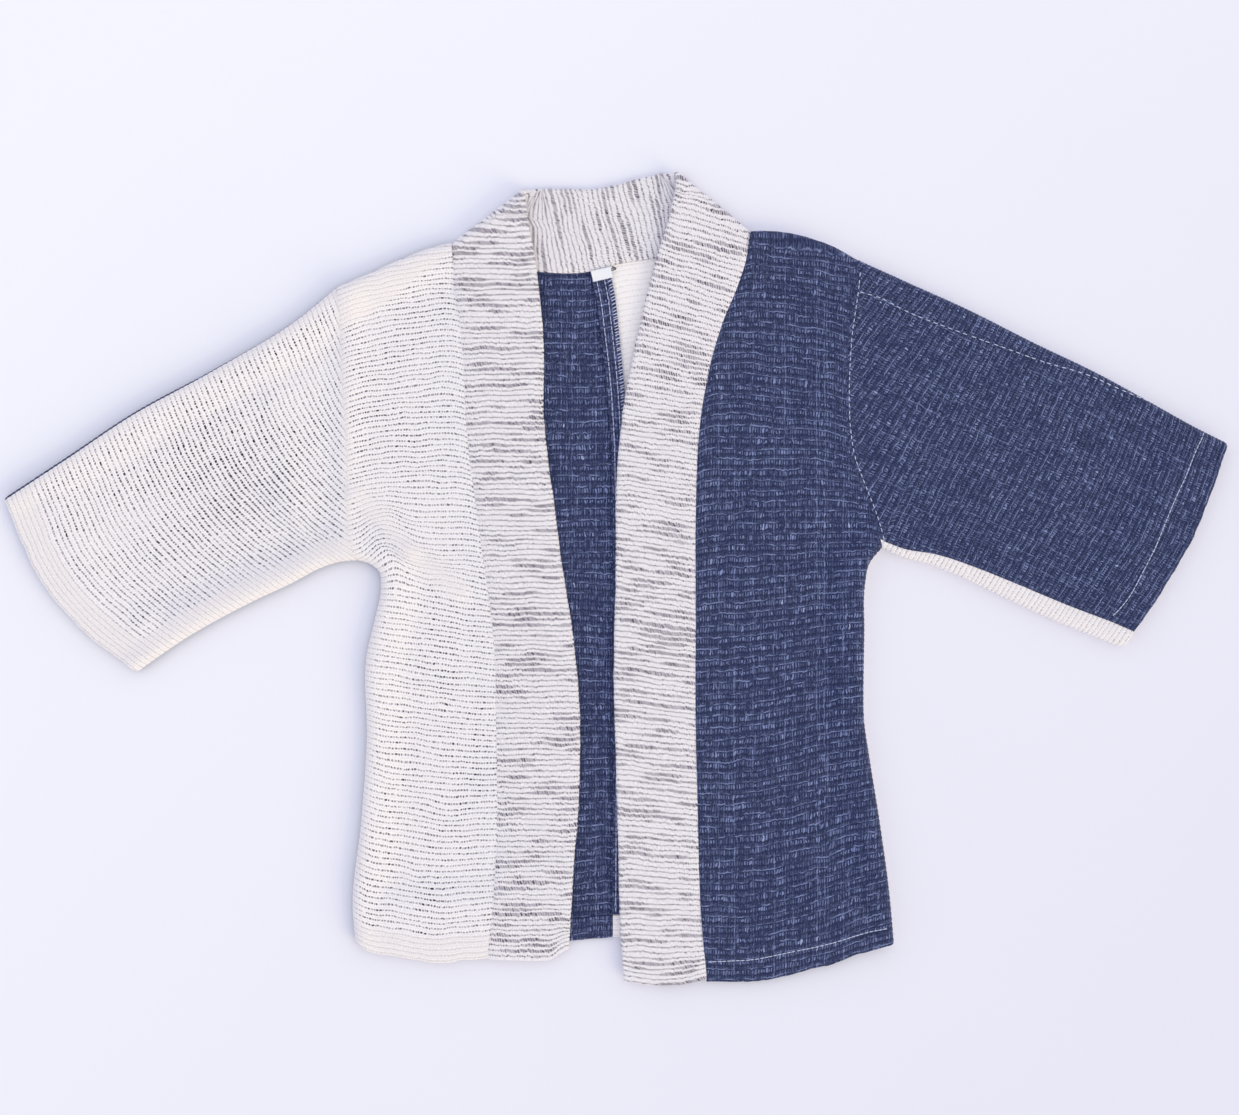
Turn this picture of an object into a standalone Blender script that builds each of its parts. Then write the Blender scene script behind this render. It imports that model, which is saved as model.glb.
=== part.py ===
"""A child's kimono jacket of corded cotton, laid flat on its back with its front open.

X runs to the wearer's left, Y to the neck and Z up, and the middle of the jacket's box is at X = Y = 0.
The tables are in millimetres, and a mesh is in metres. Right and left are the wearer's.
The back lies on the surface, the fronts lie on the back, and the neckband lies on top of both.
"""

import bpy
import numpy as np

# Cloth
CLOTH = 1.5  # wall of one layer of the corded cotton
BAND = 3.4  # the neckband, folded double
SEAM = 0.3  # between two pieces at a seam, and between two layers
LABEL = 0.4

# How the jacket lies
ROLL = 3.6  # radius of the middle of the wall where it turns over at a side, a shoulder or a sleeve edge
PUFF = 24.0  # from the rolled edge to where the front has sunk onto the back
BODY_HEM = 13.0
SLEEVE_HEM = 19.0
HEM_BEND = 0.9  # radius of the middle of the wall where a hem turns up
ALLOWANCE = ((0.0, 12.0), (0.3, 9.5), (1.0, 9.5))  # (share of the centre back seam from the neck, width)
ALLOWANCE_START = 0.6  # beside the centre back seam
LABEL_SIZE = (13.0, 7.0)
LABEL_AT = (-9.0, 194.6)
LABEL_TURN = 13.0  # degrees

BACK_MID = CLOTH / 2
FRONT_MID = CLOTH + SEAM + CLOTH / 2
EDGE_MID = BACK_MID + ROLL  # the height of the seams at the rolled edges
EDGE_TOP = BACK_MID + 2 * ROLL
HEM_LIFT = 3.8  # the fronts rise this much over the turned-up hems
HEM_REACH = 8.0  # and stay lifted this far past them,
HEM_FALL = 26.0  # to sink back over this distance
DROOP = 0.06  # fall of the fronts for each mm that they reach past the back's hem
BAND_RISE = {"right": 1.0, "left": 1.7}  # the fronts rise this much beside the neckband,
BAND_RISE_WIDTH = 12.0  # over this distance
BAND_LOW = BAND / 2 + 0.05  # the back of the neckband lies on the surface

# Where the pieces have their rows, as distances from an edge
TURNS = (0, 40, 90)  # degrees round a rolled edge, from the seam at its outermost line to the top
EDGE_STEPS = tuple(ROLL * (1 - np.cos(np.radians(turn))) for turn in TURNS)
HEM_INSET = HEM_BEND + CLOTH / 2  # the last row of a hemmed layer lies this far inside the hem's outline
HEM_TURNS = (180, 120, 60)  # degrees round a turned-up hem
HEM_ROWS = 2  # a turned-up hem is this many rows deep
BODY_HEM_ROWS = (HEM_INSET, 7.5, BODY_HEM + 0.5, 26)
SLEEVE_HEM_ROWS = (HEM_INSET, 10, SLEEVE_HEM + 0.5, 32)
ARMPIT_ROWS = (0, 5, 12, 24)
PANEL_END = 30.0  # rows this near to a body panel's ends keep their distance along both its edges
SLEEVE_END = 20.0  # and points this near to a sleeve's edges keep theirs in every row
CORNER = 6.0  # the way out over an edge turns to that of its neighbour over this distance
FRONT_STEPS = 13  # even rows up the side of a front

# Outlines seen from above, as (x, y). The body's run up from its hem, and the arms' out from the body.
RIGHT = {
    "side": ((-166.5, -234.5), (-168.5, -212), (-163, -154.5), (-159.5, -102), (-159.5, -48.5),
             (-154, -24.5), (-150.5, -5.5), (-151.5, 4), (-157, 9), (-164.5, 11.5)),
    "armhole": ((-164.5, 11.5), (-169.5, 21.5), (-172, 47), (-172, 82), (-174.5, 120.5), (-176, 159),
                (-178, 186.5)),
    "shoulder": ((-178, 186.5), (-157, 195.5), (-138, 204), (-125.5, 209), (-109, 214), (-105, 214.5)),
    "underarm": ((-164.5, 11.5), (-176.5, 10.5), (-189, 6.5), (-206, -2.5), (-231.5, -14.5), (-274.5, -38),
                 (-306.5, -60)),
    "overarm": ((-178, 186.5), (-205.5, 164.5), (-257.5, 133.5), (-308.5, 106), (-351.5, 77.5),
                (-391, 51.5)),
    "cuff": ((-306.5, -60), (-336.5, -37.5), (-365, -6), (-382.5, 29), (-391, 51.5)),
    "hem": ((-166.5, -234.5), (-158, -239), (-142, -242), (-112.5, -246), (-96.5, -244.5), (-82, -243)),
    "band_seam": ((-82, -243), (-77.5, -193.5), (-76, -147.5), (-76.5, -103.5), (-78, -43.5),
                  (-87.5, 31), (-96, 101.5), (-97.5, 135.5), (-101.5, 177.5), (-103.5, 196), (-105, 214.5)),
    "band_free": ((-30, -245), (-27.5, -193.5), (-23.5, -136), (-23.5, -78), (-28, -32.5), (-34.5, 8),
                  (-39.5, 47), (-46, 101.5), (-46.3, 151.5), (-50.5, 196), (-56.5, 232.5), (-58.5, 249.5)),
}
LEFT = {
    "side": ((178, -234.5), (175, -201.5), (169, -157), (162, -113), (158.8, -90.5), (158.5, -65),
             (159, -34.5), (159.5, -3.5), (162, 9), (170, 19.5)),
    "armhole": ((170, 19.5), (164, 42), (156, 62.5), (151, 76), (148, 93.5), (147, 115), (147.5, 136),
                (149, 157), (152.5, 182.5), (154, 204)),
    "shoulder": ((154, 204), (138.5, 212.5), (118, 219.5), (107, 221.5), (97.5, 222.5), (86, 222)),
    "underarm": ((170, 19.5), (180, 14.5), (200, 9), (227.5, -2.5), (255.5, -16), (283.5, -28.5),
                 (311, -39.5), (323.5, -44.5)),
    "overarm": ((154, 204), (192, 187), (220, 174.5), (269, 150), (308.5, 131), (340.5, 113.5), (372, 96),
                (391, 86.5)),
    "cuff": ((323.5, -44.5), (345.5, -14), (368.5, 25), (379.5, 51.5), (391, 86.5)),
    "hem": ((178, -234.5), (160.5, -239), (138, -247), (116.5, -252.5), (94, -257.5), (58, -258.5)),
    "band_seam": ((58, -258.5), (54, -209), (52, -138), (51, -95), (51, -8), (51, 40.5), (55, 108.5),
                  (62, 143), (68.5, 164.5), (77, 185), (83.5, 205.5), (86, 222)),
    "band_free": ((5, -260), (2.5, -220), (1.5, -181), (0, -123.5), (-1.5, -52), (-0.5, -8), (1.5, 81.5),
                  (4.5, 108), (16, 165.5), (26, 205), (36, 239.5), (39, 260.5)),
}
NECK_SEAM = ((-105, 214.5), (-90, 208), (-74, 202.5), (-50.5, 196.5), (-34, 195.5), (-16, 196.5),
             (-1.5, 201), (17.5, 204), (26, 205.5), (57, 212), (86, 222))
NECK_FREE = ((-58.5, 249.5), (-29, 249.5), (-14.5, 249.5), (-1.5, 252), (13, 255.5), (29, 259.5),
             (39, 260.5))
BACK_HEM = ((-166.5, -234.5), (-100, -234), (-31.5, -232.5), (-2, -230.5), (54, -230.5), (118, -232.5),
            (178, -234.5))
CENTRE_BACK = ((-2, -230.5), (-1.5, -78), (-2, 50), (-3, 88.5), (-6, 130), (-9.5, 159), (-12, 178),
               (-16, 196.5))

# How far the sleeve's back wraps over its edge onto the top, as (share of the way to the cuff, width)
OVERARM_WRAP = {"right": ((0.0, 0.2), (0.3, 0.4), (0.5, 1.1), (1.0, 1.4)), "left": ((0.0, 0.0), (1.0, 0.0))}
UNDERARM_WRAP = {"right": ((0.0, 0.0), (1.0, 0.0)),
                 "left": ((0.0, 3.6), (0.25, 7.5), (0.55, 11.0), (0.9, 12.5), (1.0, 12.0))}

# Soft folds of the top layer, as (x and y of one end, x and y of the other, half width, height)
FOLDS = (
    (-150, -8, -92, -36, 8, 2.2),
    (-155, 16, -98, 34, 9, 1.8),
    (-158, -60, -84, -78, 10, 1.2),
    (-172, 60, -168, 180, 7, 1.0),
    (-176, 22, -232, 62, 10, 1.9),
    (-196, 8, -300, -28, 9, 1.2),
    (-210, 120, -330, 58, 12, 1.0),
    (150, 60, 154, 190, 7, 1.0),
    (160, 4, 66, -12, 9, 1.5),
    (158, -110, 66, -128, 10, 1.1),
    (172, 40, 236, 60, 10, 1.6),
    (190, 26, 300, -8, 9, 1.1),
    (200, 150, 320, 96, 12, 1.0),
)

# Heights of the middle of the neckband, as (distance from the shoulder fold, at the seam, at the free edge)
BAND_LIE = {
    "right": ((0, 6.95, 8.95), (30, 5.9, 7.3), (55, 4.9, 5.9), (90, 3.9, 4.3), (130, 3.6, 3.6),
              (380, 3.6, 3.6), (420, 5.4, 5.4), (520, 5.3, 5.3)),
    "left": ((0, 6.95, 8.95), (30, 5.9, 7.4), (55, 5.1, 6.3), (90, 4.5, 5.6), (130, 4.3, 5.4),
             (380, 4.3, 5.4), (420, 5.4, 5.5), (540, 5.3, 5.3)),
}
BAND_STOP = (5.2, 6.1)  # its front stretches end this far before the shoulder fold, at the seam and free edge
BAND_TURNS = (25, 55, 90, 125, 155)  # degrees round the shoulder fold
NECK_FREE_INSET = 11.0  # its back stretch starts this far past the fold at the free edge

COLOURS = {
    "cream_cotton": (0.86, 0.83, 0.79, 1.0),
    "navy_cotton": (0.045, 0.060, 0.135, 1.0),
    "striped_cotton": (0.62, 0.59, 0.60, 1.0),
    "label_tape": (0.90, 0.90, 0.92, 1.0),
}


def smooth(points, step=2.5):
    """A curve through the points, as a fine line: cubic spans with each point's slope from its neighbours."""
    p = np.array(points, float)
    s = np.concatenate([[0], np.cumsum(np.linalg.norm(np.diff(p, axis=0), axis=1))])
    slope = np.gradient(p, s, axis=0)
    q = np.linspace(0, s[-1], int(s[-1] / step) + 2)
    k = np.clip(np.searchsorted(s, q, side="right") - 1, 0, len(s) - 2)
    h = (s[k + 1] - s[k])[:, None]
    t = (q - s[k])[:, None] / h
    return (
        (2 * t**3 - 3 * t**2 + 1) * p[k]
        + (t**3 - 2 * t**2 + t) * h * slope[k]
        + (3 * t**2 - 2 * t**3) * p[k + 1]
        + (t**3 - t**2) * h * slope[k + 1]
    )


def along(line):
    return np.concatenate([[0], np.cumsum(np.linalg.norm(np.diff(line, axis=0), axis=1))])


def at(line, distance):
    """The points at those distances along a line."""
    s = along(line)
    return np.stack([np.interp(distance, s, line[:, 0]), np.interp(distance, s, line[:, 1])], axis=-1)


def at_places(values, line, distance):
    """Values that a line has at each of its points, at those distances along it."""
    s = along(line)
    return np.stack([np.interp(distance, s, values[:, 0]), np.interp(distance, s, values[:, 1])], axis=-1)


def left_of(line):
    """The direction to the left of a line at each of its points."""
    d = np.gradient(line, along(line), axis=0)
    d /= np.linalg.norm(d, axis=1)[:, None]
    return np.stack([-d[:, 1], d[:, 0]], axis=1)


def unit(vector):
    return vector / np.linalg.norm(vector)


def shifted(line, distance):
    """The line moved to its left by a distance."""
    return line + left_of(line) * distance


def table(rows, column, q):
    return np.interp(q, [row[0] for row in rows], [row[column] for row in rows])


def ease(x):
    x = np.clip(x, 0, 1)
    return x * x * (3 - 2 * x)


def distance(points, line):
    """How far each point is from a line."""
    a, d = line[:-1], np.diff(line, axis=0)
    w = points[..., None, :] - a
    t = np.clip((w * d).sum(-1) / (d * d).sum(-1), 0, 1)
    return np.linalg.norm(w - t[..., None] * d, axis=-1).min(-1)


LINES = {
    side: {name: smooth(points) for name, points in outline.items()}
    for side, outline in (("right", RIGHT), ("left", LEFT))
}
HAND = {"right": -1, "left": 1}
NECK_SEAM_LINE = smooth(NECK_SEAM)
NECK_FREE_LINE = smooth(NECK_FREE)
BACK_HEM_LINE = smooth(BACK_HEM)
CENTRE_BACK_LINE = smooth(CENTRE_BACK)
NECK_LENGTH = along(NECK_SEAM_LINE)[-1]
NECK_MIDDLE = along(NECK_SEAM_LINE)[np.argmin(np.linalg.norm(NECK_SEAM_LINE - CENTRE_BACK[-1], axis=1))]
NECK_STEPS = np.concatenate(
    [[0, 7], np.linspace(20, NECK_MIDDLE, 6), np.linspace(NECK_MIDDLE, NECK_LENGTH - 20, 7)[1:],
     [NECK_LENGTH - 7, NECK_LENGTH]]
)  # where the back panels and the neckband have their points along the neck seam


def front_height(points):
    """The height of the middle of the top layer: high at the rolled edges, on the back between them, and
    lifted over the hems, beside the neckband and along the folds."""
    rolled = np.min(
        [distance(points, LINES[s][n]) for s in LINES for n in ("side", "shoulder", "underarm", "overarm")],
        axis=0,
    )
    puff = 0.5 + 0.5 * np.cos(np.pi * np.clip((rolled - ROLL - CLOTH) / PUFF, 0, 1))
    height = FRONT_MID + (EDGE_TOP - FRONT_MID) * puff
    hem_y = np.interp(points[..., 0], BACK_HEM_LINE[:, 0], BACK_HEM_LINE[:, 1])
    hem = 1 - ease((points[..., 1] - hem_y - BODY_HEM - HEM_REACH) / HEM_FALL)
    cuff = np.min([distance(points, LINES[s]["cuff"]) for s in LINES], axis=0)
    lift = HEM_LIFT * np.maximum(hem, 1 - ease((cuff - SLEEVE_HEM - HEM_REACH) / HEM_FALL))
    height = np.maximum(height, FRONT_MID + lift - DROOP * np.maximum(hem_y - points[..., 1], 0))
    for side, rise in BAND_RISE.items():
        near = distance(points, LINES[side]["band_seam"])
        height = height + rise * np.exp(-((near / BAND_RISE_WIDTH) ** 2)) * (1 - hem) * (1 - puff)
    for x0, y0, x1, y1, width, rise in FOLDS:
        fold = distance(points, np.array(((x0, y0), (x1, y1)), float))
        height = height + rise * np.exp(-((fold / width) ** 2)) * (1 - hem)
    return height


def front_slope(points, h=0.5):
    step_x, step_y = np.array((h, 0)), np.array((0, h))
    return np.stack(
        [
            (front_height(points + step_x) - front_height(points - step_x)) / (2 * h),
            (front_height(points + step_y) - front_height(points - step_y)) / (2 * h),
        ],
        axis=-1,
    )


def lay(points, depth, out, top, parted):
    """The middle of a layer and its outward direction at points seen from above. depth is how far a point
    is inside the rolled edge, where the wall turns over on an ellipse, and out points over that edge."""
    seam = EDGE_MID + (SEAM / 2 if top else -SEAM / 2) * parted
    flat = front_height(points) if top else np.full(depth.shape, BACK_MID)
    q = np.clip(depth / ROLL, 0, 1)
    rise = np.sqrt(1 - (1 - q) ** 2)
    z = seam + (flat - seam) * rise
    slope = front_slope(points) if top else np.zeros(points.shape)
    up = rise[..., None] * (1 if top else -1)
    normal = np.concatenate([out * (1 - q)[..., None] - slope * up, up], axis=-1)
    normal /= np.linalg.norm(normal, axis=-1)[..., None]
    return np.concatenate([points, z[..., None]], axis=-1), normal


def steps(length, near, far, count):
    """Distances along a line: those near its start, evenly spaced ones, and those near its end."""
    middle = np.linspace(near[-1], length - far[-1], count + 2)[1:-1]
    return np.concatenate([near, middle, length - np.array(far)[::-1]])


def patch(inner, outer, low, high, share, weight_low, weight_high):
    """A grid seen from above: rows from inner to outer, bent to the low line and the high line at its ends.
    share gives each point's place across its row."""
    def bend(line):
        place = share * along(line)[-1]
        straight = line[0] + (line[-1] - line[0]) * share[..., None]
        return at(line, place) - straight

    rows = inner[:, None] + (outer - inner)[:, None] * share[..., None]
    return rows + bend(low) * weight_low[:, None, None] + bend(high) * weight_high[:, None, None]


def turn_up(middle, normal):
    """Adds a hem to row 0 of a piece: the wall turns round at the edge and runs back along the inside."""
    away = middle[0] - middle[1]
    away -= normal[0] * (away * normal[0]).sum(-1)[:, None]
    away /= np.linalg.norm(away, axis=-1)[:, None]
    back = [middle[k] - 2 * HEM_BEND * normal[k] for k in range(HEM_ROWS, 0, -1)]
    back_normal = [-normal[k] for k in range(HEM_ROWS, 0, -1)]
    for angle in np.radians(HEM_TURNS):
        back.append(
            middle[0] - normal[0] * HEM_BEND * (1 - np.cos(angle)) + away * HEM_BEND * np.sin(angle)
        )
        back_normal.append(normal[0] * np.cos(angle) + away * np.sin(angle))
    return np.concatenate([back, middle]), np.concatenate([back_normal, normal])


def level(flat, height):
    """A flat piece's middle at that height, and its outward direction, which is up."""
    middle = np.concatenate([flat, np.full((*flat.shape[:2], 1), height)], axis=-1)
    return middle, np.broadcast_to((0.0, 0.0, 1.0), middle.shape)


def wall(name, material, middle, normal, half):
    """A closed wall about its middle: an outer and an inner skin, joined round the edge."""
    rows, columns = middle.shape[:2]
    half = np.broadcast_to(half, (rows, columns))[..., None]
    skins = np.concatenate([(middle + normal * half).reshape(-1, 3), (middle - normal * half).reshape(-1, 3)])
    index = np.arange(rows * columns).reshape(rows, columns)
    a, b, c, d = index[:-1, :-1], index[1:, :-1], index[1:, 1:], index[:-1, 1:]
    outer = np.stack([a, b, c, d], axis=-1).reshape(-1, 4)
    border = np.concatenate([index[:-1, 0], index[-1, :-1], index[:0:-1, -1], index[0, :0:-1]])
    after = np.roll(border, -1)
    size = rows * columns
    faces = np.concatenate(
        [outer, outer[:, ::-1] + size, np.stack([after, border, border + size, after + size], axis=1)]
    )
    add_piece(name, material, skins, faces)


def add_piece(name, material, points, faces):
    """A mesh object in metres, with its faces pointing out."""
    corners = points[faces]
    volume = sum(
        (corners[:, 0] * np.cross(corners[:, k], corners[:, k + 1])).sum()
        for k in range(1, faces.shape[1] - 1)
    )
    if volume < 0:
        faces = faces[:, ::-1]
    mesh = bpy.data.meshes.new(name)
    mesh.from_pydata((points * 0.001).tolist(), [], faces.tolist())
    mesh.validate()
    mesh.shade_smooth()
    mesh.set_sharp_from_angle(angle=np.radians(40))
    mesh.materials.append(bpy.data.materials[material])
    piece = bpy.data.objects.new(name, mesh)
    bpy.context.collection.objects.link(piece)


def add_materials():
    for name, colour in COLOURS.items():
        material = bpy.data.materials.new(name)
        material.use_nodes = True
        shader = material.node_tree.nodes["Principled BSDF"]
        shader.inputs["Base Color"].default_value = colour
        shader.inputs["Roughness"].default_value = 0.9
        shader.inputs["Metallic"].default_value = 0.0


def armhole_steps(length, top):
    """Distances up the armhole seam, the same ones on the body and on the sleeve."""
    near = (*EDGE_STEPS, 10, SLEEVE_END) if top else (*EDGE_STEPS, SLEEVE_END)
    return steps(length, near, near, 6 if top else 4)


def armhole_line(side, towards_body):
    """The armhole seam, without the cloth's half thickness at its two ends, beside the body or the sleeve."""
    line = LINES[side]["armhole"]
    trimmed = at(line, np.linspace(CLOTH / 2, along(line)[-1] - CLOTH / 2, len(line)))
    return shifted(trimmed, HAND[side] * SEAM / 2 * (1 if towards_body else -1))


def turned_towards(out, direction, far):
    """The way out over an edge, turned to the armhole's own direction next to its seam."""
    share = np.exp(-far / CORNER)[..., None]
    mixed = out * (1 - share) + direction * share
    return mixed / np.linalg.norm(mixed, axis=-1)[..., None]


def body_rows(side, top, side_steps):
    """The outer ends of a body panel's rows, up its side and its armhole: where they are, their distance up
    the edge, how far they are above the armpit, the way out over the side, and the armpit's distance."""
    hand = HAND[side]
    armhole = armhole_line(side, True)
    flank = np.concatenate([shifted(LINES[side]["side"], hand * CLOTH / 2)[:-1], armhole[:1]])
    pit = along(flank)[-1]
    up_side = steps(pit, BODY_HEM_ROWS, ARMPIT_ROWS, side_steps)
    up_arm = armhole_steps(along(armhole)[-1], top)[1:]
    outer = np.concatenate([at(flank, up_side), at(armhole, up_arm)])
    above = np.concatenate([np.zeros(len(up_side)), up_arm])
    out = at_places(-hand * left_of(flank), flank, up_side)
    out = turned_towards(out, unit(armhole[0] - armhole[1]), pit - up_side)
    out = np.concatenate([out, np.repeat(out[-1:], len(up_arm), axis=0)])
    return outer, np.concatenate([up_side, pit + up_arm]), above, out, pit


def seam_rows(side, up, pit, inner_line):
    """The distances along a body panel's inner edge of its rows, whose distances up its side are given."""
    level = np.interp(armhole_line(side, True)[0, 1], inner_line[:, 1], along(inner_line))
    end = along(inner_line)[-1]
    return np.interp(
        up, [0, PANEL_END, pit, up[-1] - PANEL_END, up[-1]], [0, PANEL_END, level, end - PANEL_END, end]
    )


def upper_edge(side, top, start):
    """A body panel's upper edge from its inner edge to the armhole, and the share of it along the neck."""
    shoulder = shifted(LINES[side]["shoulder"], HAND[side] * CLOTH / 2)[::-1]
    if top:
        return shoulder, 0.0
    neck = shifted(NECK_SEAM_LINE, -SEAM / 2)
    neck = neck if side == "left" else neck[::-1]
    neck = neck[(neck[:, 0] - start[0]) * HAND[side] > 0][:-2]
    edge = np.concatenate([[start], neck, shoulder])
    return edge, 1 - along(shoulder)[-1] / along(edge)[-1]


def lower_edge(side, top, start):
    """A body panel's hem from its inner edge to its side."""
    if top:
        return LINES[side]["hem"][::-1]
    hem = BACK_HEM_LINE if side == "left" else BACK_HEM_LINE[::-1]
    hem = hem[(hem[:, 0] - start[0]) * HAND[side] > 0]
    return np.concatenate([[start], hem, LINES[side]["side"][:1]])


def body_panel(side, top, name, material, side_steps):
    """One half of the front or the back. Its rows run from the band seam or the centre back to the side."""
    hand = HAND[side]
    outer, up, above, out_side, pit = body_rows(side, top, side_steps)
    inner_line = shifted(LINES[side]["band_seam"] if top else CENTRE_BACK_LINE, -hand * SEAM / 2)
    hem = lower_edge(side, top, inner_line[0])
    crown, neck_share = upper_edge(side, top, inner_line[-1])
    inner_line[-1] = crown[0]
    inner = at(inner_line, seam_rows(side, up, pit, inner_line))
    reach = np.linalg.norm(outer - inner, axis=1)[:, None]
    crown_length = along(crown)[-1]
    if top:
        even, from_edge = np.linspace(0, 0.62, 6), (20, 10, *EDGE_STEPS[::-1])
    else:
        from_centre = (NECK_STEPS - NECK_MIDDLE) * hand
        at_neck = np.sort(from_centre[from_centre >= 0]) / crown_length
        even, from_edge = (*at_neck, neck_share + 0.13, 0.8), (12, *EDGE_STEPS[::-1])
    share = np.concatenate([np.tile(even, (len(outer), 1)), 1 - np.array(from_edge) / reach], axis=1)
    like_hem = 1 - ease((up - 25) / (pit - 40))
    like_crown = ease((up - pit) / (up[-1] - 12 - pit))
    plan = patch(inner, outer, hem, crown, share, like_hem, like_crown)

    from_side = (1 - share) * reach
    past_neck = np.clip(neck_share - share, 0, 1) * crown_length  # the back isn't rolled over along the neck
    depth_side, depth_top = from_side + above[:, None], (up[-1] - up)[:, None] + 0.7 * past_neck
    crown_at = np.maximum(share, neck_share + 3 / crown_length) * crown_length
    out_top = at_places(hand * left_of(crown), crown, crown_at)
    out_top = turned_towards(out_top, unit(outer[-1] - outer[-2]), from_side)
    out = np.where((depth_top < depth_side)[..., None], out_top, out_side[:, None])
    middle, normal = turn_up(*lay(plan, np.minimum(depth_top, depth_side), out, top, 1))
    wall(name, material, middle, normal, CLOTH / 2)


def sleeve_frame(side, armhole, steps_along):
    """The sleeve's rows across it: a function that gives points seen from above with their depth in the
    rolled edges and their way out over them, and each row's length and share of the way to the cuff."""
    hand = HAND[side]
    over = np.concatenate([armhole[-1:], shifted(LINES[side]["overarm"], -hand * CLOTH / 2)[2:]])
    under = np.concatenate([armhole[:1], shifted(LINES[side]["underarm"], hand * CLOTH / 2)[2:]])
    over_end, under_end = along(over)[-1], along(under)[-1]
    over_steps = steps(over_end, (0, 6, 16), SLEEVE_HEM_ROWS, steps_along)
    hem_end = SLEEVE_HEM_ROWS[-1]
    under_steps = np.interp(
        over_steps, [0, 16, over_end - hem_end, over_end], [0, 12, under_end - hem_end, under_end]
    )
    low, high = at(under, under_steps), at(over, over_steps)
    go = over_steps / over_end
    like_armhole, like_cuff = (1 - go) ** 2, ease(go * 1.1) ** 2
    straight = np.linalg.norm(high - low, axis=1)
    row = straight[:, None] * (1 + (along(armhole)[-1] / straight[0] - 1) * like_armhole[:, None])
    out_under = turned_towards(
        at_places(-hand * left_of(under), under, under_steps), unit(armhole[0] - armhole[1]), under_steps
    )
    out_over = turned_towards(
        at_places(hand * left_of(over), over, over_steps), unit(armhole[-1] - armhole[-2]), over_steps
    )

    def plan_of(place):
        plan = patch(low, high, armhole, LINES[side]["cuff"], place / row, like_armhole, like_cuff)
        out = np.where((place < row / 2)[..., None], out_under[:, None], out_over[:, None])
        return plan, np.minimum(place, row - place), out

    return plan_of, row, go


def sleeve_panel(side, top, name, material, steps_along):
    """One half of a sleeve, from the cuff to the armhole. The back half may wrap over its edges to the top."""
    armhole = armhole_line(side, False)
    length = along(armhole)[-1]
    plan_of, row, go = sleeve_frame(side, armhole, steps_along)
    under = table(UNDERARM_WRAP[side], 1, go)[:, None]
    over = table(OVERARM_WRAP[side], 1, go)[:, None]
    at_armhole = armhole_steps(length, top)
    knots = [0, SLEEVE_END, length - SLEEVE_END, length]
    place = np.array(
        [np.interp(at_armhole, knots, [0, SLEEVE_END, end - SLEEVE_END, end]) for end in row[:, 0]]
    )
    if top:
        under_edge, over_edge = under + SEAM * (under > 0), over + SEAM * (over > 0)
        place = under_edge + place * (row - under_edge - over_edge) / row
    parted = np.where(place < row / 2, under == 0, over == 0)
    parts = [lay(*plan_of(place), top, parted)]
    if not top and under.any():
        wrap = np.maximum(under * (1, 0.6, 0.3, 0.1), (0.04, 0.03, 0.02, 0.01))
        parts.insert(0, lay(*plan_of(wrap), True, 0))
    if not top and over.any():
        wrap = np.maximum(over * (0.1, 0.5, 1), (0.01, 0.02, 0.03))
        parts.append(lay(*plan_of(row - wrap), True, 0))
    middle, normal = (np.concatenate(part, axis=1)[::-1] for part in zip(*parts))
    wall(name, material, *turn_up(middle, normal), CLOTH / 2)


def front_stretch(side):
    """A front stretch of the neckband from its hem to near the shoulder fold, as its seam edge and its free
    edge in 3D, and the fold's ends at those edges seen from above."""
    seam = shifted(LINES[side]["band_seam"], HAND[side] * SEAM / 2)
    free = shifted(LINES[side]["band_free"], -HAND[side] * 0.1)
    seam_stop, free_stop = along(seam)[-1] - BAND_STOP[0], along(free)[-1] - BAND_STOP[1]
    _, up, _, _, pit = body_rows(side, True, FRONT_STEPS)
    rows = seam_rows(side, up, pit, seam)
    seam_at = np.concatenate([[0], rows[rows < seam_stop - 3], [seam_stop]])
    free_at = seam_at / seam_stop * free_stop
    seam_edge = np.column_stack([at(seam, seam_at), table(BAND_LIE[side], 1, seam_stop - seam_at)])
    free_edge = np.column_stack([at(free, free_at), table(BAND_LIE[side], 2, free_stop - free_at)])
    return (seam_edge, free_edge), (seam[-1], free[-1])


def shoulder_fold(side, front, ends, back):
    """The neckband's turn over the shoulder, from its front stretch to the back of the neck, as its seam
    edge and its free edge. back has a point of each edge on the back, a little past the fold."""
    fold = unit(ends[1] - ends[0])
    out = np.array((fold[1], -fold[0])) * HAND[side]
    heights = (EDGE_MID - BAND_LOW, (front[1][-1, 2] - BAND_LOW) / 2)
    edges = []
    for edge, end, under, height, clear in zip(front, ends, back, heights, (2 * SEAM, 0)):
        points = []
        for turn in np.radians(BAND_TURNS):
            turned = turn > np.pi / 2
            way = unit(under - end) if turned else unit(edge[-1, :2] - end)
            sink = 1 - np.sin(turn)
            slide = (way @ fold) / -(way @ out) * (BAND / 2 + height) * sink + clear * turned
            plan = end - out * (BAND / 2 + height * sink) + fold * slide
            points.append((*plan, BAND_LOW + height * (1 + np.cos(turn))))
        edges.append(np.array(points))
    return edges


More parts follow.
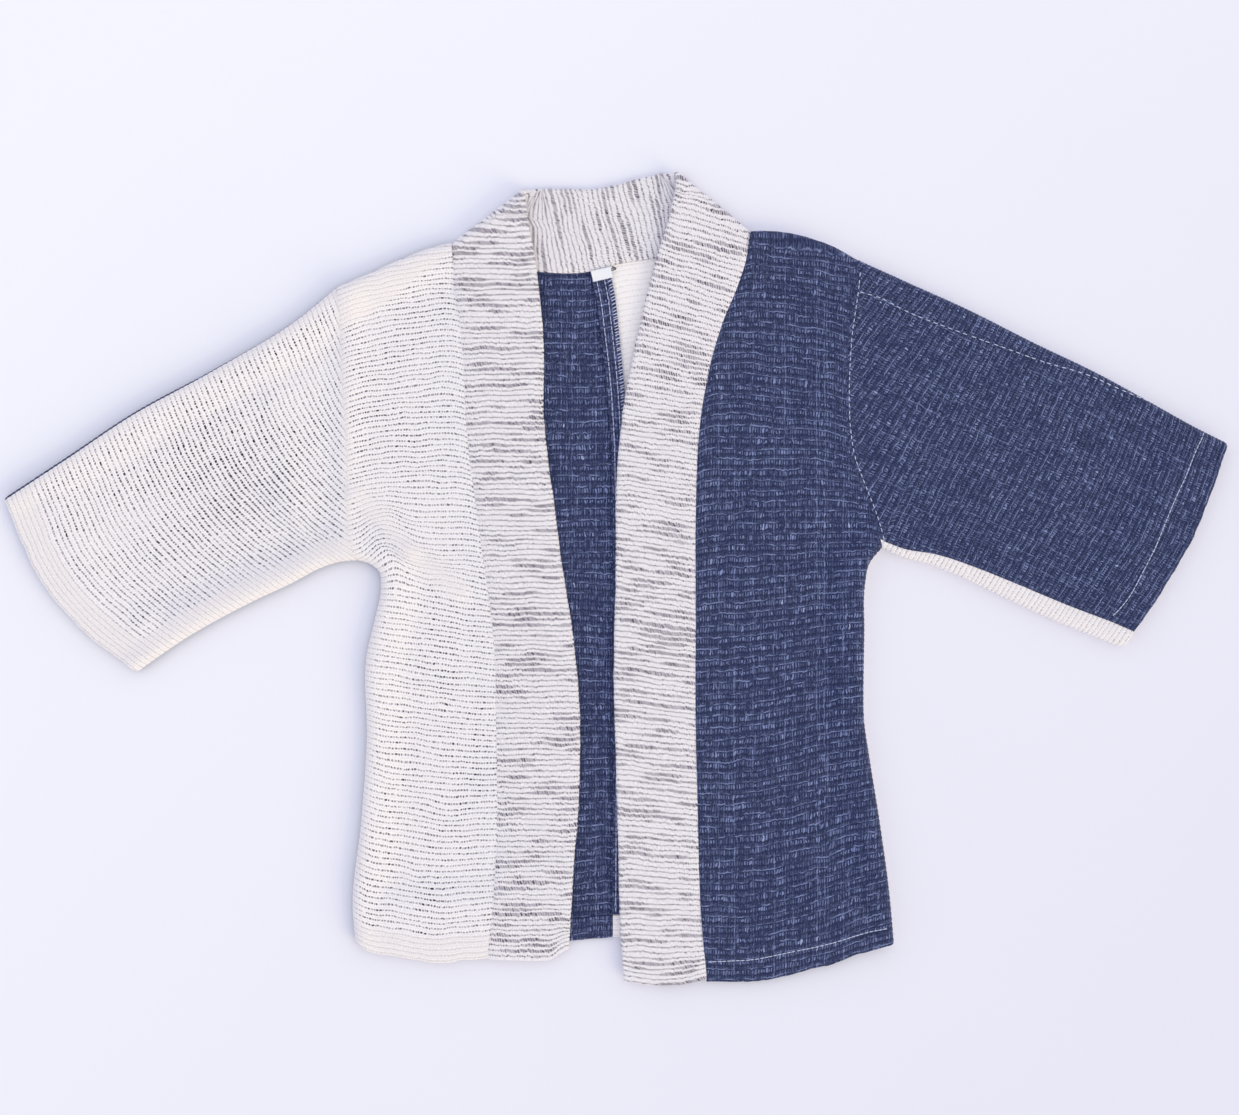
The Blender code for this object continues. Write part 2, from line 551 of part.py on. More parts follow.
def neckband():
    """One strip, folded double along its free edge: up the right front, over the right shoulder, round the
    back of the neck, over the left shoulder and down the left front."""
    low = shifted(NECK_SEAM_LINE, SEAM / 2), shifted(NECK_FREE_LINE, -0.1)
    halves = {}
    for side in HAND:
        front, ends = front_stretch(side)
        past_fold = [(line if side == "right" else line[::-1])[3] for line in low]
        fold = shoulder_fold(side, front, ends, past_fold)
        halves[side] = [np.concatenate(pair) for pair in zip(front, fold)]
    share = (NECK_STEPS[1:-1] - NECK_STEPS[1]) / (NECK_STEPS[-2] - NECK_STEPS[1])
    places = (
        NECK_STEPS[1:-1] * along(low[0])[-1] / NECK_LENGTH,
        NECK_FREE_INSET + share * (along(low[1])[-1] - 2 * NECK_FREE_INSET),
    )
    seam, free = (
        np.concatenate([right, np.column_stack([at(line, place), np.full(len(place), BAND_LOW)]), left[::-1]])
        for right, line, place, left in zip(halves["right"], low, places, halves["left"])
    )
    width = np.linalg.norm(free - seam, axis=1)[:, None]
    across = np.concatenate([np.array((0, 2.2, 12, 26)) / width, 1 - np.array((8, 1.4, 0)) / width], axis=1)
    half = BAND / 2 * np.array((0.62, 1, 1, 1, 1, 0.85, 0.3))  # thin at the seam, round at the free edge
    middle = seam[:, None] + (free - seam)[:, None] * across[..., None]
    normal = np.cross(np.gradient(middle, axis=1), np.gradient(middle, axis=0))
    normal /= np.linalg.norm(normal, axis=-1)[..., None]
    wall("neckband", "striped_cotton", middle, normal, half)


def back_seam_allowance():
    """The centre back seam's allowance, pressed to the left and stitched down on the left back."""
    line = CENTRE_BACK_LINE[::-1]
    stop = along(line)[-1] - BODY_HEM - 2.5
    go = np.concatenate([[1.2], np.linspace(12, stop, 16)])
    width = table(ALLOWANCE, 1, go / stop)
    across = np.stack([np.full(len(go), ALLOWANCE_START), width / 2, width], axis=1)[..., None]
    flat = at(line, go)[:, None] + at_places(left_of(line), line, go)[:, None] * across
    wall("back_seam_allowance", "navy_cotton", *level(flat, CLOTH + SEAM + CLOTH / 2), CLOTH / 2)


def size_label():
    """A bare white tape label, sewn into the neck seam at the centre back."""
    x, y = (np.array((-0.5, 0, 0.5)) * LABEL_SIZE[0], np.array((-0.5, 0.5)) * LABEL_SIZE[1])
    cos, sin = np.cos(np.radians(LABEL_TURN)), np.sin(np.radians(LABEL_TURN))
    turn = np.array(((cos, sin), (-sin, cos)))
    flat = LABEL_AT + np.stack(np.meshgrid(x, y, indexing="ij"), axis=-1) @ turn
    wall("size_label", "label_tape", *level(flat, 2 * CLOTH + 2 * SEAM + LABEL / 2), LABEL / 2)


for old in list(bpy.data.objects):
    bpy.data.objects.remove(old)
add_materials()
for cut, front_cloth, back_cloth in (
    ("right", "cream_cotton", "navy_cotton"),
    ("left", "navy_cotton", "cream_cotton"),
):
    body_panel(cut, False, f"back_{cut}_panel", back_cloth, 6)
    body_panel(cut, True, f"front_{cut}_panel", front_cloth, FRONT_STEPS)
    sleeve_panel(cut, False, f"sleeve_{cut}_back", back_cloth, 6)
    sleeve_panel(cut, True, f"sleeve_{cut}_front", front_cloth, 10)
neckband()
back_seam_allowance()
size_label()
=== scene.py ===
"""A child's kimono jacket of corded cotton, laid flat on its back with its front open.

X runs to the wearer's left, Y to the neck and Z up. Shapes are in millimetres, and a mesh is in metres. Right
and left are the wearer's. Each cloth piece is a thin closed shell on its own solid's form, with its cords as
real ribs: a row of points runs along each cord and each furrow, so that the ribs are in the mesh and the
threads in the material. Waves of unevenness are written as (height, size, seed).
"""

import bpy
import numpy as np
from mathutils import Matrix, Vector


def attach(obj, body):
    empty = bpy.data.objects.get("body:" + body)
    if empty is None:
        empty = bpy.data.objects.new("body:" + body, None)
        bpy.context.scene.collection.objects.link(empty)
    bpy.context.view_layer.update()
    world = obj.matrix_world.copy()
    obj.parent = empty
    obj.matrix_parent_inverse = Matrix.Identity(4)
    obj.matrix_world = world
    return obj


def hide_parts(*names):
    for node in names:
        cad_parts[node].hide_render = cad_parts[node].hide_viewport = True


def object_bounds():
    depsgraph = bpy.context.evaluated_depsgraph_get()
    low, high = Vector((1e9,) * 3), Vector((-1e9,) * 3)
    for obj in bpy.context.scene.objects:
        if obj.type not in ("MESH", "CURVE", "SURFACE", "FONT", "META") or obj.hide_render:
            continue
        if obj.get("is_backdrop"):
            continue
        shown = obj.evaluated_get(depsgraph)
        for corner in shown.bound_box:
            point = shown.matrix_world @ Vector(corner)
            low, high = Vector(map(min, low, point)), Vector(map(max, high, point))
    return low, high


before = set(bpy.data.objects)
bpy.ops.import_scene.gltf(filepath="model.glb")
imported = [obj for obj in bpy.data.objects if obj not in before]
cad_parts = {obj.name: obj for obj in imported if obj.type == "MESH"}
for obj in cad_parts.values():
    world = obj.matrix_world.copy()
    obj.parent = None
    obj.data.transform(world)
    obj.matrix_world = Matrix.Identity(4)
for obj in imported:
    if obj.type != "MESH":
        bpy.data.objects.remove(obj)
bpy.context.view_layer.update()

# Back panels.
# Two halves of the back, navy on the wearer's right and cream on the left, woven with thick cords that run
# across the body. They lie face down on the surface, turn over at the sides and shoulders, and have a hem
# turned up inside.

CLOTH = 1.5  # the corded cotton over its cords
FURROW = 0.8  # and in the furrows between them
CORD_PITCH = 3.5
CORD_JITTER = 0.12  # handwoven cords differ in width by this share
CORD_ROWS = (0.0, 0.2, 0.5, 0.8)  # where a cord has its rows of points, from one furrow to the next
SEAM_GAP = 0.01  # left between two pieces that are sewn together
ROLL = 3.6  # radius of the middle of the cloth where it turns over at an edge
HEM_BEND = 0.9  # the same where a hem turns up
BODY_HEM = 13.0
SLEEVE_HEM = 19.0
HEM_INSET = HEM_BEND + CLOTH / 2
HEM_TURNS = (180, 150, 120, 90, 60, 30)  # degrees round a turned-up hem
HEM_RAGGED = ((0.5, 9, 27), (0.3, 3, 28))  # waves of its edge
HEM_PULL = 0.3  # how far the edge is drawn in, fading over HEM_NEAR
HEM_NEAR = 9
BACK_MID = CLOTH / 2
EDGE_MID = BACK_MID + ROLL  # the height of the seams at the rolled edges
PANEL_END = 30.0  # rows this near to a panel's ends keep their distance along both its edges
SHOULDER_END = 0.4  # the last cord's end stays this far from the shoulder's end
BODY_COLUMN = {"back": 4.2, "front": 3.1}  # between points along a cord
LIKE_HEM = (25, 15)  # rows bend as the hem does up to here, and not at all from this far before the armpit
LIKE_CROWN = 12  # and as the crown does from this far below it
BODY_WAVES = ((1.0, 21, 5), (0.7, 8, 6))  # of the cords
ARCH = 4.5  # how far the cords rise between the armhole and the neckband
ARCH_EASE = (7, 11)  # how soon they do, from the neckband and from the armhole
ARCH_FROM = -40  # and how far up they start to, growing over ARCH_GROWTH and ending over ARCH_CORDS
ARCH_GROWTH = 120
ARCH_CORDS = 12
# Where the cords climb over the fold at the right armpit: middle, reach, lift, and how soon from the armhole
OVER_FOLD = ((-148, 20), (15, 26), 9.0, 14)
SHARP = np.radians(60)  # faces that meet at more than this are shaded with an edge
# Past 1, backing also has the cream inside painted paler and its painted furrow shade eased: painted light
# against the shade it lies in
INSIDE = 2.0  # the backing of the backs, whose inside shows
AT_ONCE = 4000  # points whose distances are worked out together, to save memory

# Outlines seen from above. The body's run up from its hem, and the arms' out from the body.
RIGHT = {
    "side": ((-166.5, -234.5), (-168.5, -212), (-163, -154.5), (-159.5, -102), (-159.5, -48.5),
             (-154, -24.5), (-150.5, -5.5), (-151.5, 4), (-157, 9), (-164.5, 11.5)),
    "armhole": ((-164.5, 11.5), (-169.5, 21.5), (-172, 47), (-172, 82), (-174.5, 120.5), (-176, 159),
                (-178, 186.5)),
    "shoulder": ((-178, 186.5), (-157, 195.5), (-138, 204), (-125.5, 209), (-109, 214), (-105, 214.5)),
    "underarm": ((-164.5, 11.5), (-176.5, 10.5), (-189, 6.5), (-206, -2.5), (-231.5, -14.5), (-274.5, -38),
                 (-306.5, -60)),
    "overarm": ((-178, 186.5), (-205.5, 164.5), (-257.5, 133.5), (-308.5, 106), (-351.5, 77.5),
                (-391, 51.5)),
    "cuff": ((-306.5, -60), (-336.5, -37.5), (-365, -6), (-382.5, 29), (-391, 51.5)),
    "hem": ((-166.5, -234.5), (-158, -239), (-142, -242), (-112.5, -246), (-96.5, -244.5), (-82, -243)),
    "band_seam": ((-82, -243), (-77.5, -193.5), (-76, -147.5), (-76.5, -103.5), (-78, -43.5),
                  (-87.5, 31), (-96, 101.5), (-97.5, 135.5), (-101.5, 177.5), (-103.5, 196), (-105, 214.5)),
    "band_free": ((-30, -245), (-27.5, -193.5), (-23.5, -136), (-23.5, -78), (-28, -32.5), (-34.5, 8),
                  (-39.5, 47), (-46, 101.5), (-46.3, 151.5), (-50.5, 196), (-56.5, 232.5), (-58.5, 249.5)),
}
LEFT = {
    "side": ((178, -234.5), (175, -201.5), (169, -157), (162, -113), (158.8, -90.5), (158.5, -65),
             (159, -34.5), (159.5, -3.5), (162, 9), (170, 19.5)),
    "armhole": ((170, 19.5), (164, 42), (156, 62.5), (151, 76), (148, 93.5), (147, 115), (147.5, 136),
                (149, 157), (152.5, 182.5), (154, 204)),
    "shoulder": ((154, 204), (138.5, 212.5), (118, 219.5), (107, 221.5), (97.5, 222.5), (86, 222)),
    "underarm": ((170, 19.5), (180, 14.5), (200, 9), (227.5, -2.5), (255.5, -16), (283.5, -28.5),
                 (311, -39.5), (323.5, -44.5)),
    "overarm": ((154, 204), (192, 187), (220, 174.5), (269, 150), (308.5, 131), (340.5, 113.5), (372, 96),
                (391, 86.5)),
    "cuff": ((323.5, -44.5), (345.5, -14), (368.5, 25), (379.5, 51.5), (391, 86.5)),
    "hem": ((178, -234.5), (160.5, -239), (138, -247), (116.5, -252.5), (94, -257.5), (58, -258.5)),
    "band_seam": ((58, -258.5), (54, -209), (52, -138), (51, -95), (51, -8), (51, 40.5), (55, 108.5),
                  (62, 143), (68.5, 164.5), (77, 185), (83.5, 205.5), (86, 222)),
    "band_free": ((5, -260), (2.5, -220), (1.5, -181), (0, -123.5), (-1.5, -52), (-0.5, -8), (1.5, 81.5),
                  (4.5, 108), (16, 165.5), (26, 205), (36, 239.5), (39, 260.5)),
}
NECK_SEAM = ((-105, 214.5), (-90, 208), (-74, 202.5), (-50.5, 196.5), (-34, 195.5), (-16, 196.5),
             (-1.5, 201), (17.5, 204), (26, 205.5), (57, 212), (86, 222))
BACK_HEM = ((-166.5, -234.5), (-100, -234), (-31.5, -232.5), (-2, -230.5), (54, -230.5), (118, -232.5),
            (178, -234.5))
CENTRE_BACK = ((-2, -230.5), (-1.5, -78), (-2, 50), (-3, 88.5), (-6, 130), (-9.5, 159), (-12, 178),
               (-16, 196.5))


def smooth(points, step=2.5):
    """A curve through the points, as a fine line: cubic spans with each point's slope from its neighbours."""
    p = np.array(points, float)
    s = np.concatenate([[0], np.cumsum(np.linalg.norm(np.diff(p, axis=0), axis=1))])
    slope = np.gradient(p, s, axis=0)
    q = np.linspace(0, s[-1], int(s[-1] / step) + 2)
    k = np.clip(np.searchsorted(s, q, side="right") - 1, 0, len(s) - 2)
    h = (s[k + 1] - s[k])[:, None]
    t = (q - s[k])[:, None] / h
    return (
        (2 * t**3 - 3 * t**2 + 1) * p[k]
        + (t**3 - 2 * t**2 + t) * h * slope[k]
        + (3 * t**2 - 2 * t**3) * p[k + 1]
        + (t**3 - t**2) * h * slope[k + 1]
    )


def along(line):
    """The distance of each point of a line from its start."""
    return np.concatenate([[0], np.cumsum(np.linalg.norm(np.diff(line, axis=0), axis=1))])


def at(line, wanted, places=None):
    """The points of a line at the wanted distances along it, or where they fall among its own places."""
    places = along(line) if places is None else places
    return np.stack([np.interp(wanted, places, line[:, k]) for k in range(line.shape[1])], axis=-1)


def unit(vector):
    """Directions of length one."""
    return vector / np.linalg.norm(vector, axis=-1)[..., None]


def left_of(line):
    """The direction to the left of a line at each of its points: its own direction turned by 90 degrees."""
    d = unit(np.gradient(line, along(line), axis=0))
    return np.stack([-d[:, 1], d[:, 0]], axis=1)


def shifted(line, distance):
    """The line moved to its left by a distance."""
    return line + left_of(line) * distance


def chained(first, second):
    """Two lines as one, with one point where they meet."""
    return np.concatenate([first[:-1], [(first[-1] + second[0]) / 2], second[1:]])


def ease(x):
    """From 0 to 1, with a level start and end: 3 x squared minus 2 x cubed."""
    x = np.clip(x, 0, 1)
    return x * x * (3 - 2 * x)


def mixed(lattice, cell, share):
    """Values between a lattice's places, mixed from the four about each point: those of its cell and the next
    cells by its share of the way to them. Past its end the lattice starts again."""
    x, y = (share[..., k].reshape(*share.shape[:-1], *(1,) * (lattice.ndim - 2)) for k in (0, 1))
    i, j = ([(cell[..., k] + step) % lattice.shape[k] for step in (0, 1)] for k in (0, 1))
    low, high = (lattice[i[0], row] * (1 - x) + lattice[i[1], row] * x for row in j)
    return low * (1 - y) + high * y


def wander(points, *waves):
    """Waves of even noise added up, each from minus its height to its height: random values on a square
    lattice of its size, eased from one to the next."""
    total = 0
    for height, size, seed in waves:
        lattice = np.random.default_rng(seed).uniform(-1, 1, (61, 61))
        place = points / size
        cell = np.floor(place).astype(int)
        total = total + height * mixed(lattice, cell, ease(place - cell))
    return total


def nearest(points, line, directions):
    """How far each point is from a line, and the line's given direction at the nearest place."""
    flat = points.reshape(-1, 2)
    a, d = line[:-1], np.diff(line, axis=0)
    far, turned = np.empty(len(flat)), np.empty((len(flat), 2))
    for start in range(0, len(flat), AT_ONCE):
        block = slice(start, start + AT_ONCE)
        w = flat[block, None] - a
        t = np.clip((w * d).sum(-1) / (d * d).sum(-1), 0, 1)
        gap = np.linalg.norm(w - t[..., None] * d, axis=-1)
        k = gap.argmin(1)
        share = np.take_along_axis(t, k[:, None], 1)
        far[block] = np.take_along_axis(gap, k[:, None], 1)[:, 0]
        turned[block] = unit(directions[k] * (1 - share) + directions[k + 1] * share)
    return far.reshape(points.shape[:-1]), turned.reshape(points.shape)


def from_edge(cloth):
    """How far inside a rolled edge, seen from above, cloth is that lies this far round from it: a quarter of
    a circle, and then a level run."""
    quarter = ROLL * np.pi / 2
    turning = ROLL * (1 - np.cos(np.clip(cloth, 0, quarter) / ROLL))
    return np.where(cloth < quarter, turning, cloth - quarter + ROLL)


ROLL_SPARE = ROLL * (np.pi / 2 - 1)  # the cloth that a rolled edge takes up beyond what is seen from above
HAND = {"right": -1, "left": 1}
LINES = {
    side: {name: smooth(points) for name, points in outline.items()}
    for side, outline in (("right", RIGHT), ("left", LEFT))
}
NECK_SEAM_LINE = smooth(NECK_SEAM)
BACK_HEM_LINE = smooth(BACK_HEM)
CENTRE_BACK_LINE = smooth(CENTRE_BACK)
EDGES = {}  # the two edges of each side where the cloth turns over, with the way out over them
for side, hand in HAND.items():
    half = hand * CLOTH / 2
    flank = chained(shifted(LINES[side]["side"], half), shifted(LINES[side]["underarm"], half))
    crown = chained(shifted(LINES[side]["shoulder"], half)[::-1], shifted(LINES[side]["overarm"], -half))
    EDGES[side] = ((flank, -hand * left_of(flank)), (crown, hand * left_of(crown)))


def lay(points, side, height=None, slope=None):
    """The middle of a layer and its outward direction, at points seen from above. Without a height it is the
    layer on the surface, and otherwise the top layer at those heights. Near an edge both follow a quarter of
    an ellipse from the seam at the outermost line: its height grows as the square root of 1 - (1 - q)
    squared, q being the depth inside the edge over the roll."""
    (far_flank, out_flank), (far_crown, out_crown) = (nearest(points, *edge) for edge in EDGES[side])
    out = np.where((far_flank < far_crown)[..., None], out_flank, out_crown)
    q = np.clip(np.minimum(far_flank, far_crown) / ROLL, 0, 1)
    rise = np.sqrt(1 - (1 - q) ** 2)
    top = height is not None
    seam = EDGE_MID + SEAM_GAP / 2 * (1 if top else -1)
    z = seam + ((height if top else BACK_MID) - seam) * rise
    up = rise[..., None] * (1 if top else -1)
    tilt = slope * up if top else 0
    normal = np.concatenate([out * (1 - q)[..., None] - tilt, up], axis=-1)
    return np.concatenate([points, z[..., None]], axis=-1), unit(normal)


def cord_rows(length, seed, pitch=CORD_PITCH):
    """Distances of the rows of points across a cloth's cords, and the cord count at each: a whole number is a
    furrow. The cords' widths differ."""
    count = round(length / pitch)
    widths = np.random.default_rng(seed).uniform(1 - CORD_JITTER, 1 + CORD_JITTER, count)
    furrows = np.concatenate([[0], np.cumsum(widths)]) * length / widths.sum()
    cords = np.append((np.arange(count)[:, None] + CORD_ROWS).ravel(), count)
    return np.interp(cords, np.arange(count + 1), furrows), cords


def patch(inner, outer, low, high, share, weight_low, weight_high):
    """A grid seen from above: rows from inner to outer, bent like the low line and the high line by weights.
    share gives each point's place across its row."""
    def bend(line):
        straight = line[0] + (line[-1] - line[0]) * share[..., None]
        return at(line, share * along(line)[-1]) - straight

    rows = inner[:, None] + (outer - inner)[:, None] * share[..., None]
    return rows + bend(low) * weight_low[:, None, None] + bend(high) * weight_high[:, None, None]


def armhole_line(side, towards_body):
    """The armhole seam, without the cloth's half thickness at its two ends, beside the body or the sleeve."""
    line = LINES[side]["armhole"]
    trimmed = at(line, np.linspace(CLOTH / 2, along(line)[-1] - CLOTH / 2, len(line)))
    return shifted(trimmed, HAND[side] * SEAM_GAP / 2 * (1 if towards_body else -1))


def body_rows(side, inner, levels, shoulder=None):
    """A body panel's rows, from its hem up: the points of their inner and outer ends, each row's distance up
    its outer edge, its cord count, and how far up the armpit is. levels has the heights at which the cords
    through the armpit and through the armhole's top meet the inner edge. The cords above the armhole's top
    end on the shoulder if it is given, and otherwise follow it."""
    armhole = armhole_line(side, True)
    edge = np.concatenate([shifted(LINES[side]["side"], HAND[side] * CLOTH / 2)[:-1], armhole])
    top, inner_end = along(edge)[-1], along(inner)[-1]
    pit = top - along(armhole)[-1]
    pit_level, top_level = (np.interp(level, inner[:, 1], along(inner)) for level in levels)
    cloth, cords = cord_rows(inner_end + ROLL_SPARE - HEM_INSET, seed=11 if side == "right" else 12)
    inner_at = inner_end - from_edge(cloth[-1] - cloth) * (inner_end - HEM_INSET) / from_edge(cloth[-1])
    if shoulder is None:
        knots_in = [0, PANEL_END, pit_level, inner_end - PANEL_END, inner_end]
        knots_out = [0, PANEL_END, pit, top - PANEL_END, top]
    else:
        edge = np.concatenate([edge, shoulder[1:]])
        knots_in = [0, PANEL_END, pit_level, top_level, inner_end]
        knots_out = [0, PANEL_END, pit, top, along(edge)[-1] - SHOULDER_END]
    up = np.interp(inner_at, knots_in, knots_out)
    return at(inner, inner_at), at(edge, up), up, cords, pit


def well_inside(share, cords, first, last):
    """0 at a piece's edges and 1 inside: past a quarter of its width and the given counts of end cords."""
    ends = ease(cords / first) * ease((cords[-1] - cords) / last)
    return ease(share * 4) * ease((1 - share) * 4) * ends[:, None]


def body_plan(side, inner, hem, crown, column, levels, shoulder=None):
    """A body panel seen from above, with its weave: millimetres along the cords, and cords up from the hem.
    Where they end on the shoulder they also arch, rising from the armhole and sinking at the neckband."""
    low, high, up, cords, pit = body_rows(side, inner, levels, shoulder)
    reach = np.linalg.norm(high - low, axis=1)[:, None]
    count = round(reach.max() / column)
    cloth = (reach + ROLL_SPARE) * (1 - np.linspace(0, 1, count))
    share = np.clip(1 - from_edge(cloth) / reach, 0, 1)
    like_hem = 1 - ease((up - LIKE_HEM[0]) / (pit - sum(LIKE_HEM)))
    like_crown = ease((up - pit) / (up[-1] - LIKE_CROWN - pit)) * (shoulder is None)
    plan = patch(low, high, hem, crown, share, like_hem, like_crown)
    inside = well_inside(share, cords, first=4, last=4)
    if shoulder is not None:
        from_inner, from_outer = share * reach, (1 - share) * reach
        arch = ARCH * (1 - np.exp(-from_inner / ARCH_EASE[0])) * (1 - np.exp(-from_outer / ARCH_EASE[1]))
        grown = ease((plan[..., 1] - ARCH_FROM) / ARCH_GROWTH)
        plan[..., 1] += arch * grown * ease((cords[-1] - cords) / ARCH_CORDS)[:, None]
        over_fold = np.exp(-(((plan - OVER_FOLD[0]) / OVER_FOLD[1]) ** 2).sum(-1))
        plan[..., 1] += OVER_FOLD[2] * over_fold * ease(from_outer / OVER_FOLD[3])
    plan[..., 1] += inside * wander(plan, *BODY_WAVES)
    along_cords = plan[..., 0] * HAND[side] + from_edge(cloth) - ROLL_SPARE - cloth
    return plan, np.stack([along_cords, cords[:, None] + 0 * cloth], axis=-1)


def turn_up(middle, normal, weave, backing, depth, pitch=CORD_PITCH):
    """Adds a hem to the first row of a piece: the cloth turns round at the edge and runs back along the
    inside as far as the row whose cord count times the pitch is the hem's depth."""
    rows = np.searchsorted(weave[:, 0, 1] * pitch, depth)
    away = middle[0] - middle[1]
    away = unit(away - normal[0] * (away * normal[0]).sum(-1)[:, None])
    ragged = wander(middle[0, :, :2], *HEM_RAGGED) - HEM_PULL
    near = 1 - ease(weave[:, 0, 1] * pitch / HEM_NEAR)
    middle = middle + near[:, None, None] * ragged[:, None] * away
    angle = np.radians(HEM_TURNS)[:, None, None]
    back = slice(rows, 0, -1)
    folded = np.tile(weave[0], (len(HEM_TURNS), 1, 1))
    folded[..., 1] -= angle[..., 0] / np.pi
    under = weave[back] * (1, -1) + (0, -1)
    bend = middle[0] - normal[0] * HEM_BEND * (1 - np.cos(angle)) + away * HEM_BEND * np.sin(angle)
    return (
        np.concatenate([middle[back] - 2 * HEM_BEND * normal[back], bend, middle]),
        np.concatenate([-normal[back], normal[0] * np.cos(angle) + away * np.sin(angle), normal]),
        np.concatenate([under, folded, weave]),
        np.concatenate([np.ones((rows + len(HEM_TURNS), middle.shape[1])), backing]),
    )


def new_object(name, material, points, faces):
    """An object with a smooth mesh of its own, from points in millimetres."""
    mesh = bpy.data.meshes.new(name)
    mesh.from_pydata((points * 0.001).tolist(), [], faces.tolist())
    mesh.shade_smooth()
    mesh.materials.append(material)
    made = bpy.data.objects.new(name, mesh)
    bpy.context.collection.objects.link(made)
    return made


def add_shell(name, material, middle, normal, half, weave, backing):
    """A closed shell about its middle: an outer and an inner skin at the half thickness, joined round the
    edge. Its weave goes into a UV map, and backing says where a second layer closes the open furrows."""
    rows, columns = middle.shape[:2]
    size = rows * columns
    half = np.broadcast_to(half, (rows, columns))[..., None]
    points = np.concatenate([middle + normal * half, middle - normal * half]).reshape(-1, 3)
    index = np.arange(size).reshape(rows, columns)
    outer = np.stack([index[:-1, :-1], index[1:, :-1], index[1:, 1:], index[:-1, 1:]], axis=-1).reshape(-1, 4)
    border = np.concatenate([index[:-1, 0], index[-1, :-1], index[:0:-1, -1], index[0, :0:-1]])
    after = np.roll(border, -1)
    rim = np.stack([after, border, border + size, after + size], axis=1)
    faces = np.concatenate([outer, outer[:, ::-1] + size, rim])
    corners = points[faces]
    volume = sum((corners[:, 0] * np.cross(corners[:, k], corners[:, k + 1])).sum() for k in (1, 2))
    if volume < 0:
        faces = faces[:, ::-1]
    piece = new_object(name, material, points, faces)
    piece.data.set_sharp_from_angle(angle=SHARP)
    threads = piece.data.uv_layers.new(name="weave")
    threads.data.foreach_set("uv", np.tile(weave.reshape(-1, 2), (2, 1))[faces.ravel()].ravel())
    closed = piece.data.attributes.new("backing", "FLOAT", "POINT")
    closed.data.foreach_set("value", np.tile(np.broadcast_to(backing, (rows, columns)).ravel(), 2))
    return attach(piece, "root")


def corded(weave, pressed=0.9):
    """Half the thickness of corded cloth: thin in the furrows and thick over the cords, as the square root of
    a sine, and pressed thinner by a factor at the cloth's own edges."""
    half = FURROW / 2 + (CLOTH - FURROW) / 2 * np.sqrt(np.abs(np.sin(np.pi * weave[..., 1])))
    half[:, (0, -1)] *= pressed
    half[(0, -1), :] *= pressed
    return half


def colour(code):
    """An sRGB hex value as a linear colour."""
    value = np.array([int(code[k:k + 2], 16) for k in (1, 3, 5)]) / 255
    linear = np.where(value > 0.04045, ((value + 0.055) / 1.055) ** 2.4, value / 12.92)
    return (*linear.tolist(), 1.0)


def new_material(name, constants):
    """A material, with its tree and its shader, whose inputs get those constants."""
    material = bpy.data.materials.new(name)
    material.use_nodes = True
    shader = material.node_tree.nodes["Principled BSDF"]
    for key, value in constants.items():
        shader.inputs[key].default_value = value
    return material, material.node_tree, shader


def add(tree, kind, *values, out=0, **settings):
    """Adds a node with its settings, and gives one of its outputs. The values, or the outputs that feed them,
    go in order to the inputs it uses, and None leaves one alone. A kind in capitals is a Math operation."""
    if kind.isupper():
        kind, settings["operation"] = "Math", kind
    made = tree.nodes.new("ShaderNode" + kind)
    for name, value in settings.items():
        setattr(made, name, value)
    for socket, value in zip([socket for socket in made.inputs if socket.enabled], values):
        if isinstance(value, bpy.types.NodeSocket):
            tree.links.new(value, socket)
        elif value is not None:
            socket.default_value = value
    return [socket for socket in made.outputs if socket.enabled][out]


def cotton(name, roughness, sheen):
    """Matt cotton: its material, tree and shader, its weave's map, and the map's two coordinates."""
    material, tree, shader = new_material(name, {
        "Roughness": roughness, "Sheen Weight": sheen, "Sheen Roughness": 0.5, "Specular IOR Level": 0.25})
    weave = add(tree, "UVMap", uv_map="weave")
    u, v = (add(tree, "SeparateXYZ", weave, out=k) for k in (0, 1))
    return material, tree, shader, weave, u, v


def to_nearest(tree, count):
    """The whole number nearest to a count, how far the count is past it, and how far from it."""
    whole = add(tree, "ROUND", count)
    past = add(tree, "SUBTRACT", count, whole)
    return whole, past, add(tree, "ABSOLUTE", past)


def side_by_side(tree, step, row, outer, inner):
    """Threads side by side: each one's number, 1 in its middle and 0 outside, and its chance in its row."""
    cell = add(tree, "FLOOR", step)
    part = add(tree, "FRACT", step)
    part = add(tree, "SUBTRACT", part, 0.5)
    part = add(tree, "ABSOLUTE", part)
    near = add(tree, "MapRange", part, outer, inner, interpolation_type="SMOOTHSTEP")
    place = add(tree, "CombineXYZ", cell, row)
    return cell, near, add(tree, "TexWhiteNoise", place, noise_dimensions="2D")


def fibrous(tree, weave, fineness, deep, pale):
    """The fine unevenness of spun fibre, and the cloth's own colour from its deeper to its paler fibres."""
    mottle = add(tree, "TexNoise", weave, fineness, 3.0, noise_dimensions="2D")
    grain = add(tree, "MapRange", mottle, 0.3, 0.7)
    return grain, add(tree, "Mix", grain, colour(deep), colour(pale), data_type="RGBA")


def dress(shader, face, relief, strength, distance):
    """Gives a shader its face's colour, and its relief as a bump of that strength and depth in metres."""
    tree = shader.id_data
    tree.links.new(face, shader.inputs["Base Color"])
    tree.links.new(add(tree, "Bump", strength, distance, None, relief), shader.inputs["Normal"])


# Handwoven cream cotton: thick soft cords with open furrows between them. The furrows let the dark layer
# below show through as rows of small dots, 1.9 mm apart, and turn pale where a second layer closes them.
# Below zero, backing says that the weave is loose, so that the dots grow into slots.
DOT_PITCH = 1.9
cream, tree, shader, woven, u, v = cotton("handwoven_cream_corded_cotton", 0.92, 0.1)
backing = add(tree, "Attribute", out=2, attribute_name="backing")
